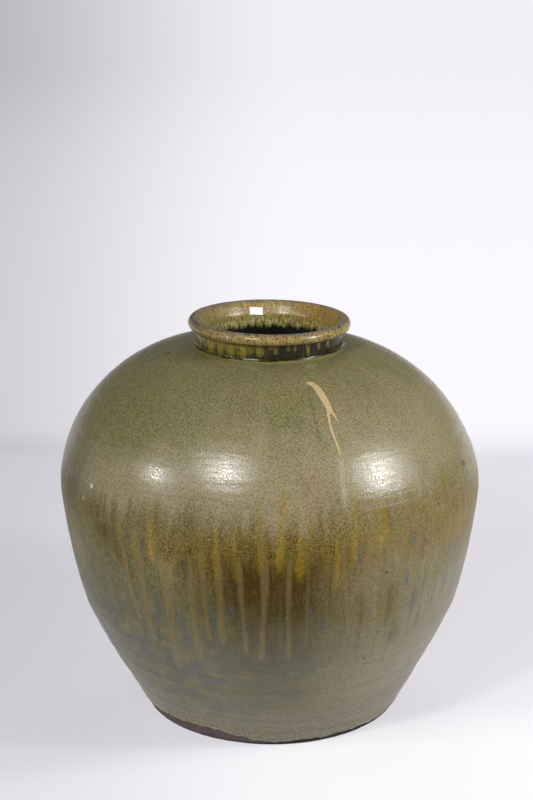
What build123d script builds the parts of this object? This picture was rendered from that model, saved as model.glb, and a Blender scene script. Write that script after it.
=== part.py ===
# Storage jar of glazed stoneware: a flat foot, a flaring lower wall, a domed shoulder,
# a short collar and a rolled rim, with a coat of glaze outside and inside.
# Millimetres, +Z up. The origin is the centre of the face that the jar stands on.
import math
import os

from build123d import *

# Driving dimensions of the finished jar, over the glaze
foot_radius = 198.0
belly_radius = 325.0
belly_height = 361.0
shoulder_rise = 213.0
neck_radius = 112.0
neck_rise = 35.0
rim_roll_radius = 8.6

# Walls and coats
wall = 14.0
neck_wall = 14.0
base_thickness = 20.0
glaze = 1.3

# Seams between the sections of the lower body, as shares of the way from the foot to the belly line
base_seam_height_share = 0.14
base_seam_radius_share = 0.24
lower_seam_height_share = 0.50
lower_seam_radius_share = 0.743

# How far each section swells beyond the straight line between its seams
lower_wall_swell = 2.5
belly_wall_swell = 4.5

# Dome of the shoulder: a quarter of a superellipse
dome_exponent = 1.83
dome_spans = 8

# Clay coil worked into the corner between shoulder and collar
luting_size = 6.0
luting_hollow_share = 0.36

# Rim: the roll's centre stands outside the collar's face, and the lip falls inwards into a flare
rim_offset_share = 0.42
lip_reach = 11.0
lip_drop = 6.6

# Foot edge, and the line where the outer glaze ends: higher on one side than on the other
foot_edge_round = 4.0
glaze_end_low = 7.0
glaze_end_high = 27.0
glaze_end_angle = 210.0

# Blank paper label on the flare inside the rim, at the back
label_width = 21.0
label_height = 12.5
label_thickness = 0.3
label_lift = 0.4
label_below_lip = 1.0
label_angle = 101.0

# Sizes worked out from the ones above
whole_wall = glaze + wall + glaze
body_spread = belly_radius - foot_radius
base_seam_height = base_seam_height_share * belly_height
base_seam_radius = foot_radius + base_seam_radius_share * body_spread
lower_seam_height = lower_seam_height_share * belly_height
lower_seam_radius = foot_radius + lower_seam_radius_share * body_spread
shoulder_top = belly_height + shoulder_rise
dome_top_radius = neck_radius + luting_size
throat_radius = neck_radius - neck_wall
collar_face_radius = neck_radius - glaze
collar_bore_radius = throat_radius + glaze
rim_height = shoulder_top + neck_rise
rim_centre_radius = neck_radius + rim_offset_share * rim_roll_radius
jar_height = rim_height + rim_roll_radius
lip_radius = math.hypot(lip_reach, lip_drop) ** 2 / (2 * lip_drop)
lip_turn = 2 * math.atan2(lip_drop, lip_reach)


def at(radius, height):
    """Point of the jar's outline."""
    return Vector(radius, 0, height)


def between(start, end, swell):
    """Point half way between two points, pushed outwards by the swell."""
    return (start + end) * 0.5 + at(swell, 0)


def ring(edges):
    """Solid that a closed outline sweeps once round the jar's axis."""
    return revolve(Face(Wire(edges)), axis=Axis.Z)


def foot_line_radius(height):
    """Radius of the straight flank between the foot and the base seam."""
    return foot_radius + (base_seam_radius - foot_radius) * height / base_seam_height


def section_arc(lower, upper, swell, inset):
    """Curved flank between two seams, at a depth below the finished surface."""
    start = at(lower[0] - inset, lower[1])
    end = at(upper[0] - inset, upper[1])
    return ThreePointArc(start, between(start, end, swell), end)


def lower_wall_arc(inset):
    """Flank of the section between the base seam and the lower seam."""
    lower = (base_seam_radius, base_seam_height)
    return section_arc(lower, (lower_seam_radius, lower_seam_height), lower_wall_swell, inset)


def belly_wall_arc(inset):
    """Flank of the section between the lower seam and the widest line."""
    lower = (lower_seam_radius, lower_seam_height)
    return section_arc(lower, (belly_radius, belly_height), belly_wall_swell, inset)


def dome_curve(inset):
    """Meridian of the shoulder, from the widest line up to the foot of the neck."""
    reach = belly_radius - inset - dome_top_radius
    rise = shoulder_rise - inset
    power = 2 / dome_exponent
    points = []
    for step in range(dome_spans + 1):
        angle = math.pi / 2 * step / dome_spans
        radius = dome_top_radius + reach * max(math.cos(angle), 0) ** power
        points.append(at(radius, belly_height + rise * math.sin(angle) ** power))
    points[-1] = at(dome_top_radius, shoulder_top - inset)
    return Spline(*points, tangents=(Vector(0, 0, 1), Vector(-1, 0, 0)))


def luting_arc(inset):
    """Hollow curve of the luting coil, from the shoulder to the face of the collar."""
    hollow = luting_hollow_share * luting_size - inset
    start = at(neck_radius + luting_size - inset, shoulder_top - inset)
    middle = at(neck_radius + hollow, shoulder_top + hollow)
    return ThreePointArc(start, middle, at(neck_radius - inset, shoulder_top + luting_size - inset))


def under_rim_height(inset):
    """Height at which the roll of the rim leaves the face of the collar."""
    side = rim_centre_radius - neck_radius + inset
    return rim_height - math.sqrt((rim_roll_radius - inset) ** 2 - side**2)


def roll_arc(inset):
    """Outer half of the rolled rim, from the face of the collar up to the crest."""
    radius = rim_roll_radius - inset
    start = at(neck_radius - inset, under_rim_height(inset))
    outermost = at(rim_centre_radius + radius, rim_height)
    return ThreePointArc(start, outermost, at(rim_centre_radius, jar_height - inset))


def lip_point(turn, inset):
    """Point of the lip's inner curve, by the angle turned from the crest."""
    radius = lip_radius - inset
    drop = lip_radius - radius * math.cos(turn)
    return at(rim_centre_radius - radius * math.sin(turn), jar_height - drop)


def flare_point(radius, inset):
    """Point of the straight flare under the lip, at a radius."""
    top = lip_point(lip_turn, inset)
    return at(radius, top.Z - (top.X - radius) * math.tan(lip_turn))


def lip_arc(inset):
    """Inner half of the lip, from the crest down to the flare."""
    return ThreePointArc(lip_point(0, inset), lip_point(lip_turn / 2, inset), lip_point(lip_turn, inset))


def outside_line(inset):
    """Outside of the jar from the floor to the crest of the rim, at a depth below the finished surface."""
    dome = dome_curve(inset)
    luting = luting_arc(inset)
    roll = roll_arc(inset)
    edges = [Line(at(foot_radius - inset, 0), lower_wall_arc(inset) @ 0)]
    edges += [lower_wall_arc(inset), belly_wall_arc(inset), dome]
    if inset > 0:
        edges.append(Line(dome @ 1, luting @ 0))
    edges += [luting, Line(luting @ 1, roll @ 0), roll]
    return edges


def inside_line(depth):
    """Inside of the jar from the crest to the middle of the floor, at a depth behind the finished surface."""
    inset = whole_wall - depth
    floor = base_thickness + glaze - depth
    throat = throat_radius + depth
    throat_top = flare_point(throat, depth)
    throat_end = at(throat, shoulder_top - inset)
    floor_corner = at(foot_line_radius(floor) - inset, floor)
    edges = [lip_arc(depth), Line(lip_point(lip_turn, depth), throat_top)]
    edges += [Line(throat_top, throat_end), Line(throat_end, dome_curve(inset) @ 1)]
    edges += [dome_curve(inset), belly_wall_arc(inset), lower_wall_arc(inset)]
    edges += [Line(lower_wall_arc(inset) @ 0, floor_corner), Line(floor_corner, at(0, floor))]
    return edges


def wall_section(outer, inner):
    """Ring between an outer and an inner flank that run between the same two heights."""
    return ring([outer, Line(outer @ 1, inner @ 1), inner, Line(inner @ 0, outer @ 0)])


def base_disc():
    """Flat slab that closes the bottom, with a rounded edge that stays unglazed."""
    edge_bottom = at(foot_radius - glaze, 0)
    edge_top = at(foot_line_radius(base_thickness) - glaze, base_thickness)
    outline = Polyline(at(0, 0), edge_bottom, edge_top, at(0, base_thickness), close=True)
    disc = ring(outline.edges())
    foot_edge = disc.edges().filter_by(GeomType.CIRCLE).sort_by(Axis.Z)[0]
    return fillet(foot_edge, foot_edge_round)


def foot_wall():
    """First coil of the wall, luted to the slab."""
    slab_edge = foot_line_radius(base_thickness)
    outer = Line(at(slab_edge - glaze, base_thickness), at(base_seam_radius - glaze, base_seam_height))
    inset = glaze + wall
    inner = Line(at(slab_edge - inset, base_thickness), at(base_seam_radius - inset, base_seam_height))
    return wall_section(outer, inner)


def lower_wall():
    """Flaring section between the base seam and the lower seam."""
    return wall_section(lower_wall_arc(glaze), lower_wall_arc(glaze + wall))


def belly_wall():
    """Section between the lower seam and the widest line."""
    return wall_section(belly_wall_arc(glaze), belly_wall_arc(glaze + wall))


def shoulder_wall():
    """Domed section with the hole that the collar stands in."""
    outer = dome_curve(glaze)
    inner = dome_curve(glaze + wall)
    hole_top = at(collar_face_radius, shoulder_top - glaze)
    hole_bottom = at(collar_face_radius, shoulder_top - glaze - wall)
    edges = [outer, Line(outer @ 1, hole_top), Line(hole_top, hole_bottom), Line(hole_bottom, inner @ 1)]
    return ring(edges + [inner, Line(inner @ 0, outer @ 0)])


def collar_top():
    """Outer and inner point of the joint between collar and rim."""
    height = under_rim_height(glaze)
    flare_foot = flare_point(collar_bore_radius, glaze)
    inner_radius = collar_bore_radius + (height - flare_foot.Z) / math.tan(lip_turn)
    return at(collar_face_radius, height), at(inner_radius, height)


def neck_collar():
    """Short upright collar that stands in the hole of the shoulder."""
    outer_top, inner_top = collar_top()
    bottom = shoulder_top - glaze - wall
    flare_foot = flare_point(collar_bore_radius, glaze)
    foot_points = [at(collar_bore_radius, bottom), at(collar_face_radius, bottom)]
    outline = Polyline(*foot_points, outer_top, inner_top, flare_foot, close=True)
    return ring(outline.edges())


def neck_luting_coil():
    """Coil of clay worked into the corner between shoulder and collar."""
    hollow = luting_arc(glaze)
    corner = at(collar_face_radius, shoulder_top - glaze)
    return ring([hollow, Line(hollow @ 1, corner), Line(corner, hollow @ 0)])


def rolled_rim():
    """Thick roll of clay on top of the collar."""
    outer_top, inner_top = collar_top()
    flare = Line(lip_point(lip_turn, glaze), inner_top)
    return ring([roll_arc(glaze), lip_arc(glaze), flare, Line(inner_top, outer_top)])


def outer_glaze():
    """Coat over the outside, from the crest of the rim down to a slanting line above the foot."""
    surface = outside_line(0)
    clay = outside_line(glaze)
    crest = Line(surface[-1] @ 1, clay[-1] @ 1)
    coat = ring(surface + clay + [crest, Line(clay[0] @ 0, surface[0] @ 0)])
    middle = (glaze_end_low + glaze_end_high) / 2
    slant = math.degrees(math.atan2(glaze_end_high - glaze_end_low, 2 * foot_radius))
    lower_end = Plane.XY.offset(middle) * Rot(0, 0, glaze_end_angle) * Rot(0, -slant, 0)
    return split(coat, bisect_by=Plane(lower_end), keep=Keep.TOP)


def inner_glaze():
    """Coat over the lip, the throat, the inside of the wall and the floor."""
    surface = inside_line(0)
    clay = inside_line(glaze)
    crest = Line(surface[0] @ 0, clay[0] @ 0)
    return ring(surface + clay + [crest, Line(surface[-1] @ 1, clay[-1] @ 1)])


def paper_label():
    """Small blank label on the flare under the lip, at the back."""
    down = Vector(-math.cos(lip_turn), 0, -math.sin(lip_turn))
    off_glaze = Vector(-math.sin(lip_turn), 0, math.cos(lip_turn))
    start = lip_point(lip_turn, 0) + down * label_below_lip + off_glaze * label_lift
    end = start + down * label_height
    face_points = [start, end, end + off_glaze * label_thickness, start + off_glaze * label_thickness]
    section = Face(Wire(Polyline(*face_points, close=True).edges()))
    arc = math.degrees(label_width / start.X)
    return Rot(0, 0, label_angle - arc / 2) * revolve(section, axis=Axis.Z, revolution_arc=arc)


SUB_PARTS = [
    base_disc,
    foot_wall,
    lower_wall,
    belly_wall,
    shoulder_wall,
    neck_collar,
    neck_luting_coil,
    rolled_rim,
    outer_glaze,
    inner_glaze,
    paper_label,
]

os.makedirs("parts", exist_ok=True)
for sub_part in SUB_PARTS:
    export_step(sub_part(), f"parts/{sub_part.__name__}.step")
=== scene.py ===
"""Dressed model of a big glazed stoneware storage jar, built round its packed construction model.

Lengths are metres, angles are degrees unless a name says radians, +Z is up. Azimuth 0 is the side
that faces the camera (-Y), and it grows towards +X. Finishes count the height in millimetres.
"""

import logging
import math
from dataclasses import dataclass, field
from enum import Enum
from typing import Any, Callable, Iterable, Mapping, Sequence

import bmesh
import bpy
import numpy as np
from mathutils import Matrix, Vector


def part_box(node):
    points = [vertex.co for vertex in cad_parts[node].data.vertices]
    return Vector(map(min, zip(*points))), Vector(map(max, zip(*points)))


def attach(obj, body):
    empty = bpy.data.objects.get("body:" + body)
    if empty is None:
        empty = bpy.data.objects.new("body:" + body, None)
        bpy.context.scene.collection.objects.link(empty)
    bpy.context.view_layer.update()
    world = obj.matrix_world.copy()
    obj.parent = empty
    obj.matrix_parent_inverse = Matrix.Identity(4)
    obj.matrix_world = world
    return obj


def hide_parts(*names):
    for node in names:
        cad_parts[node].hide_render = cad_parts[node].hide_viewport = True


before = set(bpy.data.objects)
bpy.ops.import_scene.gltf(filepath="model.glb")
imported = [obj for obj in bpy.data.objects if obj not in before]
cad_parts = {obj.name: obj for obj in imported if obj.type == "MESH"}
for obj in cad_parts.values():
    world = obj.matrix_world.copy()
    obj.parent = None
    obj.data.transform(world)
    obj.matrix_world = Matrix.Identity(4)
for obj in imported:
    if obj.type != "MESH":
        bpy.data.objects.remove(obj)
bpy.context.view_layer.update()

LOG = logging.getLogger("jar")
BODY = "root"
TINY = 1e-6
AXIS_GUARD = 1e-8
Rgb = tuple[float, float, float]
Span = tuple[float, float]
Outline = list[tuple[float, float]]
Path = tuple[tuple[float, float, float], ...]


def srgb(red: int, green: int, blue: int) -> Rgb:
    """Turn a colour written as 0 to 255 screen values into linear values."""

    def linear(value: int) -> float:
        """Turn one channel."""
        share = value / 255
        return share / 12.92 if share <= 0.04045 else ((share + 0.055) / 1.055) ** 2.4

    return linear(red), linear(green), linear(blue)


def smooth(values: np.ndarray, low: float, high: float) -> np.ndarray:
    """Rise from 0 at low to 1 at high along an S curve."""
    share = np.clip((values - low) / (high - low), 0.0, 1.0)
    return share * share * (3.0 - 2.0 * share)


def bell(values: np.ndarray, middle: float | np.ndarray, width: float) -> np.ndarray:
    """Give a bell curve of height 1 round a middle."""
    return np.exp(-(((values - middle) / width) ** 2))


def turn_between(azimuth: np.ndarray, other: float | np.ndarray) -> np.ndarray:
    """Give the shortest turn from one azimuth to another, in degrees."""
    return (azimuth - other + 180.0) % 360.0 - 180.0


def waves(seed: int, lobes: Sequence[int], turns: np.ndarray) -> np.ndarray:
    """Add up waves round the jar, each with a seeded phase, the finer ones weaker.

    Args:
        seed: Seed of their phases.
        lobes: How many times each goes round.
        turns: Azimuths in radians.

    Returns:
        Their sum at each point.
    """
    rng = np.random.default_rng(seed)
    total = np.zeros_like(turns)
    for count in lobes:
        total += np.cos(count * turns + rng.uniform(0, math.tau)) / math.sqrt(count)
    return total


def eased(outline: Outline, first: int, last: int, passes: int) -> Outline:
    """Round off the small corners of an outline.

    Args:
        outline: The outline.
        first: Number of the first point that may move.
        last: Number of the first point after it that stays.
        passes: How often each point is drawn towards its neighbours.

    Returns:
        The eased outline.
    """
    line = np.array(outline)
    radii = line[:, 0]
    for _ in range(passes):
        around = radii[first - 1:last - 1] + radii[first + 1:last + 1]
        radii[first:last] = (around + 2 * radii[first:last]) / 4
    return [tuple(point) for point in line]


# Shader arithmetic


def operator(operation: str, reflected: bool = False) -> Callable[["Signal", "Number"], "Signal"]:
    """Make an arithmetic method of Signal.

    Args:
        operation: Blender's name of the operation.
        reflected: Whether the signal stands on the right of the sign.

    Returns:
        The method, which adds a Math node.
    """

    def method(self: "Signal", other: "Number") -> "Signal":
        """Combine the signal with a number or another signal."""
        return self.graph.maths(operation, *((other, self) if reflected else (self, other)))

    return method


class Signal:
    """A shader socket that takes part in ordinary arithmetic."""

    __add__, __radd__ = operator("ADD"), operator("ADD", True)
    __sub__, __rsub__ = operator("SUBTRACT"), operator("SUBTRACT", True)
    __mul__, __rmul__ = operator("MULTIPLY"), operator("MULTIPLY", True)
    __truediv__, __rtruediv__ = operator("DIVIDE"), operator("DIVIDE", True)

    def __init__(self, graph: "Graph", socket: bpy.types.NodeSocket) -> None:
        """Keep the socket and the graph that it belongs to."""
        self.graph = graph
        self.socket = socket


Number = Signal | float
Paint = Signal | Rgb


class Graph:
    """Node graph of a material or of the world, built by expressions."""

    def __init__(self, owner: bpy.types.Material | bpy.types.World) -> None:
        """Start an empty graph in a new material or world.

        Args:
            owner: The material or world.
        """
        owner.use_nodes = True
        self.owner = owner
        self.tree = owner.node_tree
        self.tree.nodes.clear()

    def node(
        self,
        kind: str,
        settings: Mapping[str, Any] | None = None,
        inputs: Mapping[str | int, Any] | None = None,
        output: str | int = 0,
    ) -> Signal:
        """Add a node.

        Args:
            kind: Blender's type name of the node.
            settings: Settings of the node, made before its sockets are used. A ramp's stops are
                given as (place, colour) pairs.
            inputs: Values or signals of its input sockets, by name or number.
            output: Name or number of the output socket.

        Returns:
            The output socket as a signal.
        """
        made = self.tree.nodes.new(kind)
        for key, value in (settings or {}).items():
            if key == "stops":
                self._set_stops(made.color_ramp, value)
            else:
                setattr(made, key, value)
        for key, value in (inputs or {}).items():
            self._feed(made.inputs[key], value)
        return Signal(self, made.outputs[output])

    def _set_stops(self, ramp: bpy.types.ColorRamp, stops: Sequence[tuple[float, Rgb]]) -> None:
        """Give a colour ramp its stops, with eased steps between them.

        Args:
            ramp: The colour ramp.
            stops: Its stops, as (place, colour) pairs.
        """
        ramp.interpolation = "EASE"
        while len(ramp.elements) < len(stops):
            ramp.elements.new(1.0)
        for element, (place, colour) in zip(ramp.elements, stops):
            element.position = place
            element.color = (*colour, 1.0)

    def _feed(self, socket: bpy.types.NodeSocket, value: Any) -> None:
        """Link a signal to a socket, or set the socket's own value."""
        if isinstance(value, Signal):
            self.tree.links.new(value.socket, socket)
        elif isinstance(value, tuple) and socket.type == "RGBA":
            socket.default_value = (*value, 1.0)
        else:
            socket.default_value = value

    def maths(self, operation: str, *values: Number) -> Signal:
        """Add a Math node."""
        return self.node("ShaderNodeMath", {"operation": operation}, dict(enumerate(values)))

    def most(self, first: Number, *others: Number) -> Signal:
        """Give the greatest of several numbers."""
        for other in others:
            first = self.maths("MAXIMUM", first, other)
        return first

    def rise(self, value: Number, low: float, high: float, start: float = 0.0, end: float = 1.0) -> Signal:
        """Go smoothly from start, where the value is low, to end, where it is high."""
        return self.node("ShaderNodeMapRange", {"interpolation_type": "SMOOTHSTEP"}, {
            "Value": value, "From Min": low, "From Max": high, "To Min": start, "To Max": end,
        })

    def band(self, value: Signal, low: float, high: float, soft: float) -> Signal:
        """Give 1 between low and high, and fall to 0 over a soft margin outside."""
        return self.rise(value, low - soft, low) * (1.0 - self.rise(value, high, high + soft))

    def mix(self, base: Paint, over: Paint, share: Number, blend: str = "MIX") -> Signal:
        """Lay one colour over another by a share from 0 to 1."""
        settings = {"data_type": "RGBA", "blend_type": blend, "clamp_factor": True}
        return self.node("ShaderNodeMix", settings, {"Factor": share, 6: base, 7: over}, output=2)

    def coats(self, colour: Paint, *coats: tuple[Paint, Number]) -> Signal:
        """Lay several coats over a colour, each a paint and its share, the last one on top."""
        for paint, share in coats:
            colour = self.mix(colour, paint, share)
        return colour

    def shade(self, base: Paint, share: Number) -> Signal:
        """Multiply a colour by a plain number, so that it keeps its hue."""
        grey = self.node("ShaderNodeCombineColor", None, dict.fromkeys(("Red", "Green", "Blue"), share))
        return self.mix(base, grey, 1.0, "MULTIPLY")

    def noise(self, place: Signal, scale: float, detail: float = 2.0, roughness: float = 0.5) -> Signal:
        """Add a noise pattern from 0 to 1, with features of about 1 / scale."""
        inputs = {"Vector": place, "Scale": scale, "Detail": detail, "Roughness": roughness}
        return self.node("ShaderNodeTexNoise", {"noise_dimensions": "3D"}, inputs)

    def dots(self, place: Signal, scale: float) -> Signal:
        """Give the distance to the nearest of many scattered points."""
        return self.node("ShaderNodeTexVoronoi", {"feature": "F1"}, {"Vector": place, "Scale": scale})

    def spot(self, place: Signal, centre: Sequence[float], radius: float) -> Signal:
        """Give 1 near a centre on the surface, and 0 beyond a radius.

        Args:
            place: Where the surface is.
            centre: Centre of the spot.
            radius: Radius of the spot.

        Returns:
            The share of the spot.
        """
        inputs = {0: place, 1: tuple(centre)}
        gap = self.node("ShaderNodeVectorMath", {"operation": "DISTANCE"}, inputs, output="Value")
        return 1.0 - self.rise(gap, radius * 0.7, radius * 1.25)

    def attribute(self, name: str) -> Signal:
        """Read a number that the mesh carries at each point."""
        return self.node("ShaderNodeAttribute", {"attribute_name": name}, output="Fac")

    def coordinate(self, kind: str = "Object") -> Signal:
        """Read the place of the surface, in the jar's frame unless another kind is named."""
        return self.node("ShaderNodeTexCoord", output=kind)

    def split(self, place: Signal) -> tuple[Signal, ...]:
        """Split a place into its X, Y and Z."""
        outputs = self.node("ShaderNodeSeparateXYZ", None, {"Vector": place}).socket.node.outputs
        return tuple(Signal(self, socket) for socket in outputs)

    def rays(self, kind: str) -> Signal:
        """Give 1 for rays of one kind, and 0 for the others."""
        return self.node("ShaderNodeLightPath", output=f"Is {kind} Ray")

    def bump(self, height: Signal, depth: float, strength: float = 1.0) -> Signal:
        """Bend the normal by a height pattern, where 1 stands for a depth in metres."""
        inputs = {"Strength": strength, "Distance": depth, "Height": height}
        return self.node("ShaderNodeBump", None, inputs)

    def surface(self, **sockets: Any) -> Signal:
        """Add a Principled surface, its sockets named with underscores for spaces."""
        inputs = {name.replace("_", " "): value for name, value in sockets.items()}
        return self.node("ShaderNodeBsdfPrincipled", None, inputs)

    def blend(self, share: Number, low: Signal, high: Signal) -> Signal:
        """Join two surfaces by a share from 0 to 1."""
        return self.node("ShaderNodeMixShader", None, {0: share, 1: low, 2: high})

    def show(self, surface: Signal, output: str = "ShaderNodeOutputMaterial") -> Any:
        """Link a surface to the graph's output.

        Args:
            surface: The surface.
            output: Blender's type name of the output node.

        Returns:
            The finished material or world.
        """
        self.tree.links.new(surface.socket, self.tree.nodes.new(output).inputs["Surface"])
        return self.owner


class WallGraph(Graph):
    """Node graph of a finish on the jar, which knows where on the wall a point lies.

    It also keeps the noise patterns that the coats of the finish share, each from 0 to 1.
    """

    patch: Signal
    blotch: Signal
    streak: Signal
    fine: Signal
    dust: Signal
    grain: Signal

    def __init__(self, name: str) -> None:
        """Start the material, and work out the height in mm, the azimuth and the radius.

        Args:
            name: Name of the material.
        """
        super().__init__(bpy.data.materials.new(name))
        self.point = self.coordinate()
        self.x, self.y, self.z = self.split(self.point)
        self.height = self.z * 1000.0
        self.azimuth = self.maths("ARCTAN2", self.x, self.y * -1.0) * (180.0 / math.pi)
        self.radius = self.maths("SQRT", self.x * self.x + self.y * self.y + AXIS_GUARD)

    def streaks(self, girth: float, run: float, sway: Number = 0.0) -> Signal:
        """Give coordinates in which a pattern is drawn out down the wall.

        Args:
            girth: Length of the wall's whole turn, over two pi.
            run: How much a pattern is squeezed along the height, from 0 to 1.
            sway: How far the pattern swings sideways, in metres.

        Returns:
            The coordinates.
        """
        scale = girth / self.radius
        values = {"X": self.x * scale + sway, "Y": self.y * scale + sway, "Z": self.z * run}
        return self.node("ShaderNodeCombineXYZ", None, values)


# Shape of the jar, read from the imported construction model


@dataclass(frozen=True)
class JarShape:
    """Outline of the jar over and under its glaze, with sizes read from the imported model."""

    glaze: float
    foot_radius: float
    base_thickness: float
    base_seam: Span
    lower_seam: Span
    belly: Span
    shoulder_top: float
    neck_radius: float
    rim_radius: float
    jar_height: float
    wall: float = 0.014
    neck_wall: float = 0.014
    lower_swell: float = 0.0025
    belly_swell: float = 0.0045
    dome_exponent: float = 1.83
    luting: float = 0.006
    luting_hollow_share: float = 0.36
    rim_offset_share: float = 0.42
    lip_reach: float = 0.011
    lip_drop: float = 0.0066

    @classmethod
    def from_frame(cls) -> "JarShape":
        """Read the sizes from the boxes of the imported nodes.

        Returns:
            The shape.
        """
        coat, disc, foot_wall, lower, belly, shoulder, collar, rim = (
            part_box(name)[1] for name in (
                "outer_glaze", "base_disc", "foot_wall", "lower_wall", "belly_wall", "shoulder_wall",
                "neck_collar", "rolled_rim",
            )
        )
        glaze = coat.x - shoulder.x
        slope = (foot_wall.x - disc.x) / (foot_wall.z - disc.z)
        return cls(
            glaze=glaze,
            foot_radius=disc.x + glaze - slope * disc.z,
            base_thickness=disc.z,
            base_seam=(foot_wall.x + glaze, foot_wall.z),
            lower_seam=(lower.x + glaze, lower.z),
            belly=(coat.x, belly.z),
            shoulder_top=shoulder.z + glaze,
            neck_radius=collar.x + glaze,
            rim_radius=rim.x + glaze,
            jar_height=rim.z + glaze,
        )

    @property
    def dome_radius(self) -> float:
        """Radius at which the dome of the shoulder meets the luting coil."""
        return self.neck_radius + self.luting

    @property
    def roll_radius(self) -> float:
        """Radius of the rim's round section."""
        return (self.rim_radius - self.neck_radius) / (1.0 + self.rim_offset_share)

    @property
    def roll_centre(self) -> Span:
        """Centre of the rim's round section."""
        return self.rim_radius - self.roll_radius, self.jar_height - self.roll_radius

    @property
    def lip_radius(self) -> float:
        """Radius of the curve from the crest down into the flare."""
        return (self.lip_reach**2 + self.lip_drop**2) / (2 * self.lip_drop)

    @property
    def lip_turn(self) -> float:
        """Angle in radians that the lip turns through, from the crest to the flare."""
        return 2 * math.atan2(self.lip_drop, self.lip_reach)

    def foot_line(self, height: float | np.ndarray) -> float | np.ndarray:
        """Give the radius of the flank below the base seam."""
        rise = (self.base_seam[0] - self.foot_radius) / self.base_seam[1]
        return self.foot_radius + rise * height

    def foot_flank(self, inset: float, steps: int, start: float = 0.0) -> Outline:
        """Give points of the flank from a height above the floor up to the base seam."""
        heights = np.linspace(start, self.base_seam[1], steps + 1)
        return list(zip(self.foot_line(heights) - inset, heights))

    def _swell(self, low: Span, high: Span, swell: float, inset: float, steps: int) -> Outline:
        """Give points of a flank that swells outwards between two seams.

        Args:
            low: Radius and height of the lower seam.
            high: The same of the upper seam.
            swell: How far the middle stands out.
            inset: Depth under the glazed face.
            steps: Steps of the curve.

        Returns:
            The points, upwards.
        """
        shares = np.linspace(0.0, 1.0, steps + 1)
        radii = low[0] + (high[0] - low[0]) * shares + 4 * swell * shares * (1 - shares) - inset
        return list(zip(radii, low[1] + (high[1] - low[1]) * shares))

    def lower_flank(self, inset: float, steps: int) -> Outline:
        """Give points of the flank from the base seam up to the lower seam."""
        return self._swell(self.base_seam, self.lower_seam, self.lower_swell, inset, steps)

    def belly_flank(self, inset: float, steps: int) -> Outline:
        """Give points of the flank from the lower seam up to the widest line."""
        return self._swell(self.lower_seam, self.belly, self.belly_swell, inset, steps)

    def flank(self, inset: float, steps: tuple[int, int, int], start: float = 0.0) -> Outline:
        """Give points of the whole flank, in steps for the foot, the lower wall and the belly.

        Args:
            inset: Depth under the glazed face.
            steps: Steps of the foot, the lower wall and the belly.
            start: Height of the first point.

        Returns:
            The points, upwards.
        """
        foot, lower, belly = steps
        line = self.foot_flank(inset, foot, start) + self.lower_flank(inset, lower)[1:]
        return line + self.belly_flank(inset, belly)[1:]

    def dome(self, inset: float, steps: int) -> Outline:
        """Give evenly spaced points of the shoulder's dome, from the widest line to the luting coil.

        Args:
            inset: Depth under the glazed face.
            steps: Steps of the curve.

        Returns:
            The points, upwards.
        """
        angles = np.linspace(0.0, math.pi / 2, 40 * steps + 1)
        power = 2 / self.dome_exponent
        reach = self.belly[0] - inset - self.dome_radius
        rise = self.shoulder_top - self.belly[1] - inset
        radii = self.dome_radius + reach * np.clip(np.cos(angles), 0, 1) ** power
        heights = self.belly[1] + rise * np.sin(angles) ** power
        run = np.concatenate([[0.0], np.cumsum(np.hypot(np.diff(radii), np.diff(heights)))])
        stops = np.linspace(0.0, run[-1], steps + 1)
        return list(zip(np.interp(stops, run, radii), np.interp(stops, run, heights)))

    def surface_point(self, azimuth: float, height: float) -> np.ndarray:
        """Give the place on the outer face at an azimuth and height, before the jar's lean.

        Args:
            azimuth: Azimuth.
            height: Height above the floor.

        Returns:
            The place.
        """
        radii, heights = np.array(self.flank(0.0, (4, 12, 12)) + self.dome(0.0, 60)[1:]).T
        radius = float(np.interp(height, heights, radii))
        turn = math.radians(azimuth)
        return np.array([radius * math.sin(turn), -radius * math.cos(turn), height])

    def luting_curve(self, inset: float, steps: int) -> Outline:
        """Give points of the hollow coil between shoulder and collar.

        Args:
            inset: Depth under the glazed face.
            steps: Steps of the curve.

        Returns:
            The points, upwards.
        """
        start = np.array([self.neck_radius + self.luting - inset, self.shoulder_top - inset])
        end = np.array([self.neck_radius - inset, self.shoulder_top + self.luting - inset])
        middle = np.array([self.neck_radius, self.shoulder_top]) + self.luting_hollow_share * self.luting
        bow = 2 * (middle - inset) - (start + end) / 2
        shares = np.linspace(0.0, 1.0, steps + 1)[:, None]
        curve = (1 - shares) ** 2 * start + 2 * shares * (1 - shares) * bow + shares**2 * end
        return [tuple(point) for point in curve]

    def under_rim(self, inset: float) -> float:
        """Give the height at which the roll leaves the face of the collar."""
        side = self.roll_centre[0] - self.neck_radius + inset
        return self.roll_centre[1] - math.sqrt((self.roll_radius - inset) ** 2 - side**2)

    def roll(self, inset: float, steps: int) -> Outline:
        """Give points of the roll, from the collar round to the crest.

        Args:
            inset: Depth under the glazed face.
            steps: Steps of the curve.

        Returns:
            The points, outwards and up.
        """
        across, up = self.roll_centre
        start = math.atan2(self.under_rim(inset) - up, self.neck_radius - inset - across)
        angles = np.linspace(start, math.pi / 2, steps + 1)
        radius = self.roll_radius - inset
        return list(zip(across + radius * np.cos(angles), up + radius * np.sin(angles)))

    def lip(self, inset: float, steps: int) -> Outline:
        """Give points of the lip, from the crest into the mouth down to the flare.

        Args:
            inset: Depth under the glazed face.
            steps: Steps of the curve.

        Returns:
            The points, inwards and down.
        """
        turns = np.linspace(0.0, self.lip_turn, steps + 1)
        radius = self.lip_radius - inset
        radii = self.roll_centre[0] - radius * np.sin(turns)
        return list(zip(radii, self.jar_height - self.lip_radius + radius * np.cos(turns)))

    def flare_height(self, radius: float, inset: float) -> float:
        """Give the height of the flare at a radius."""
        top = self.lip(inset, 1)[-1]
        return top[1] - (top[0] - radius) * math.tan(self.lip_turn)


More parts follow.
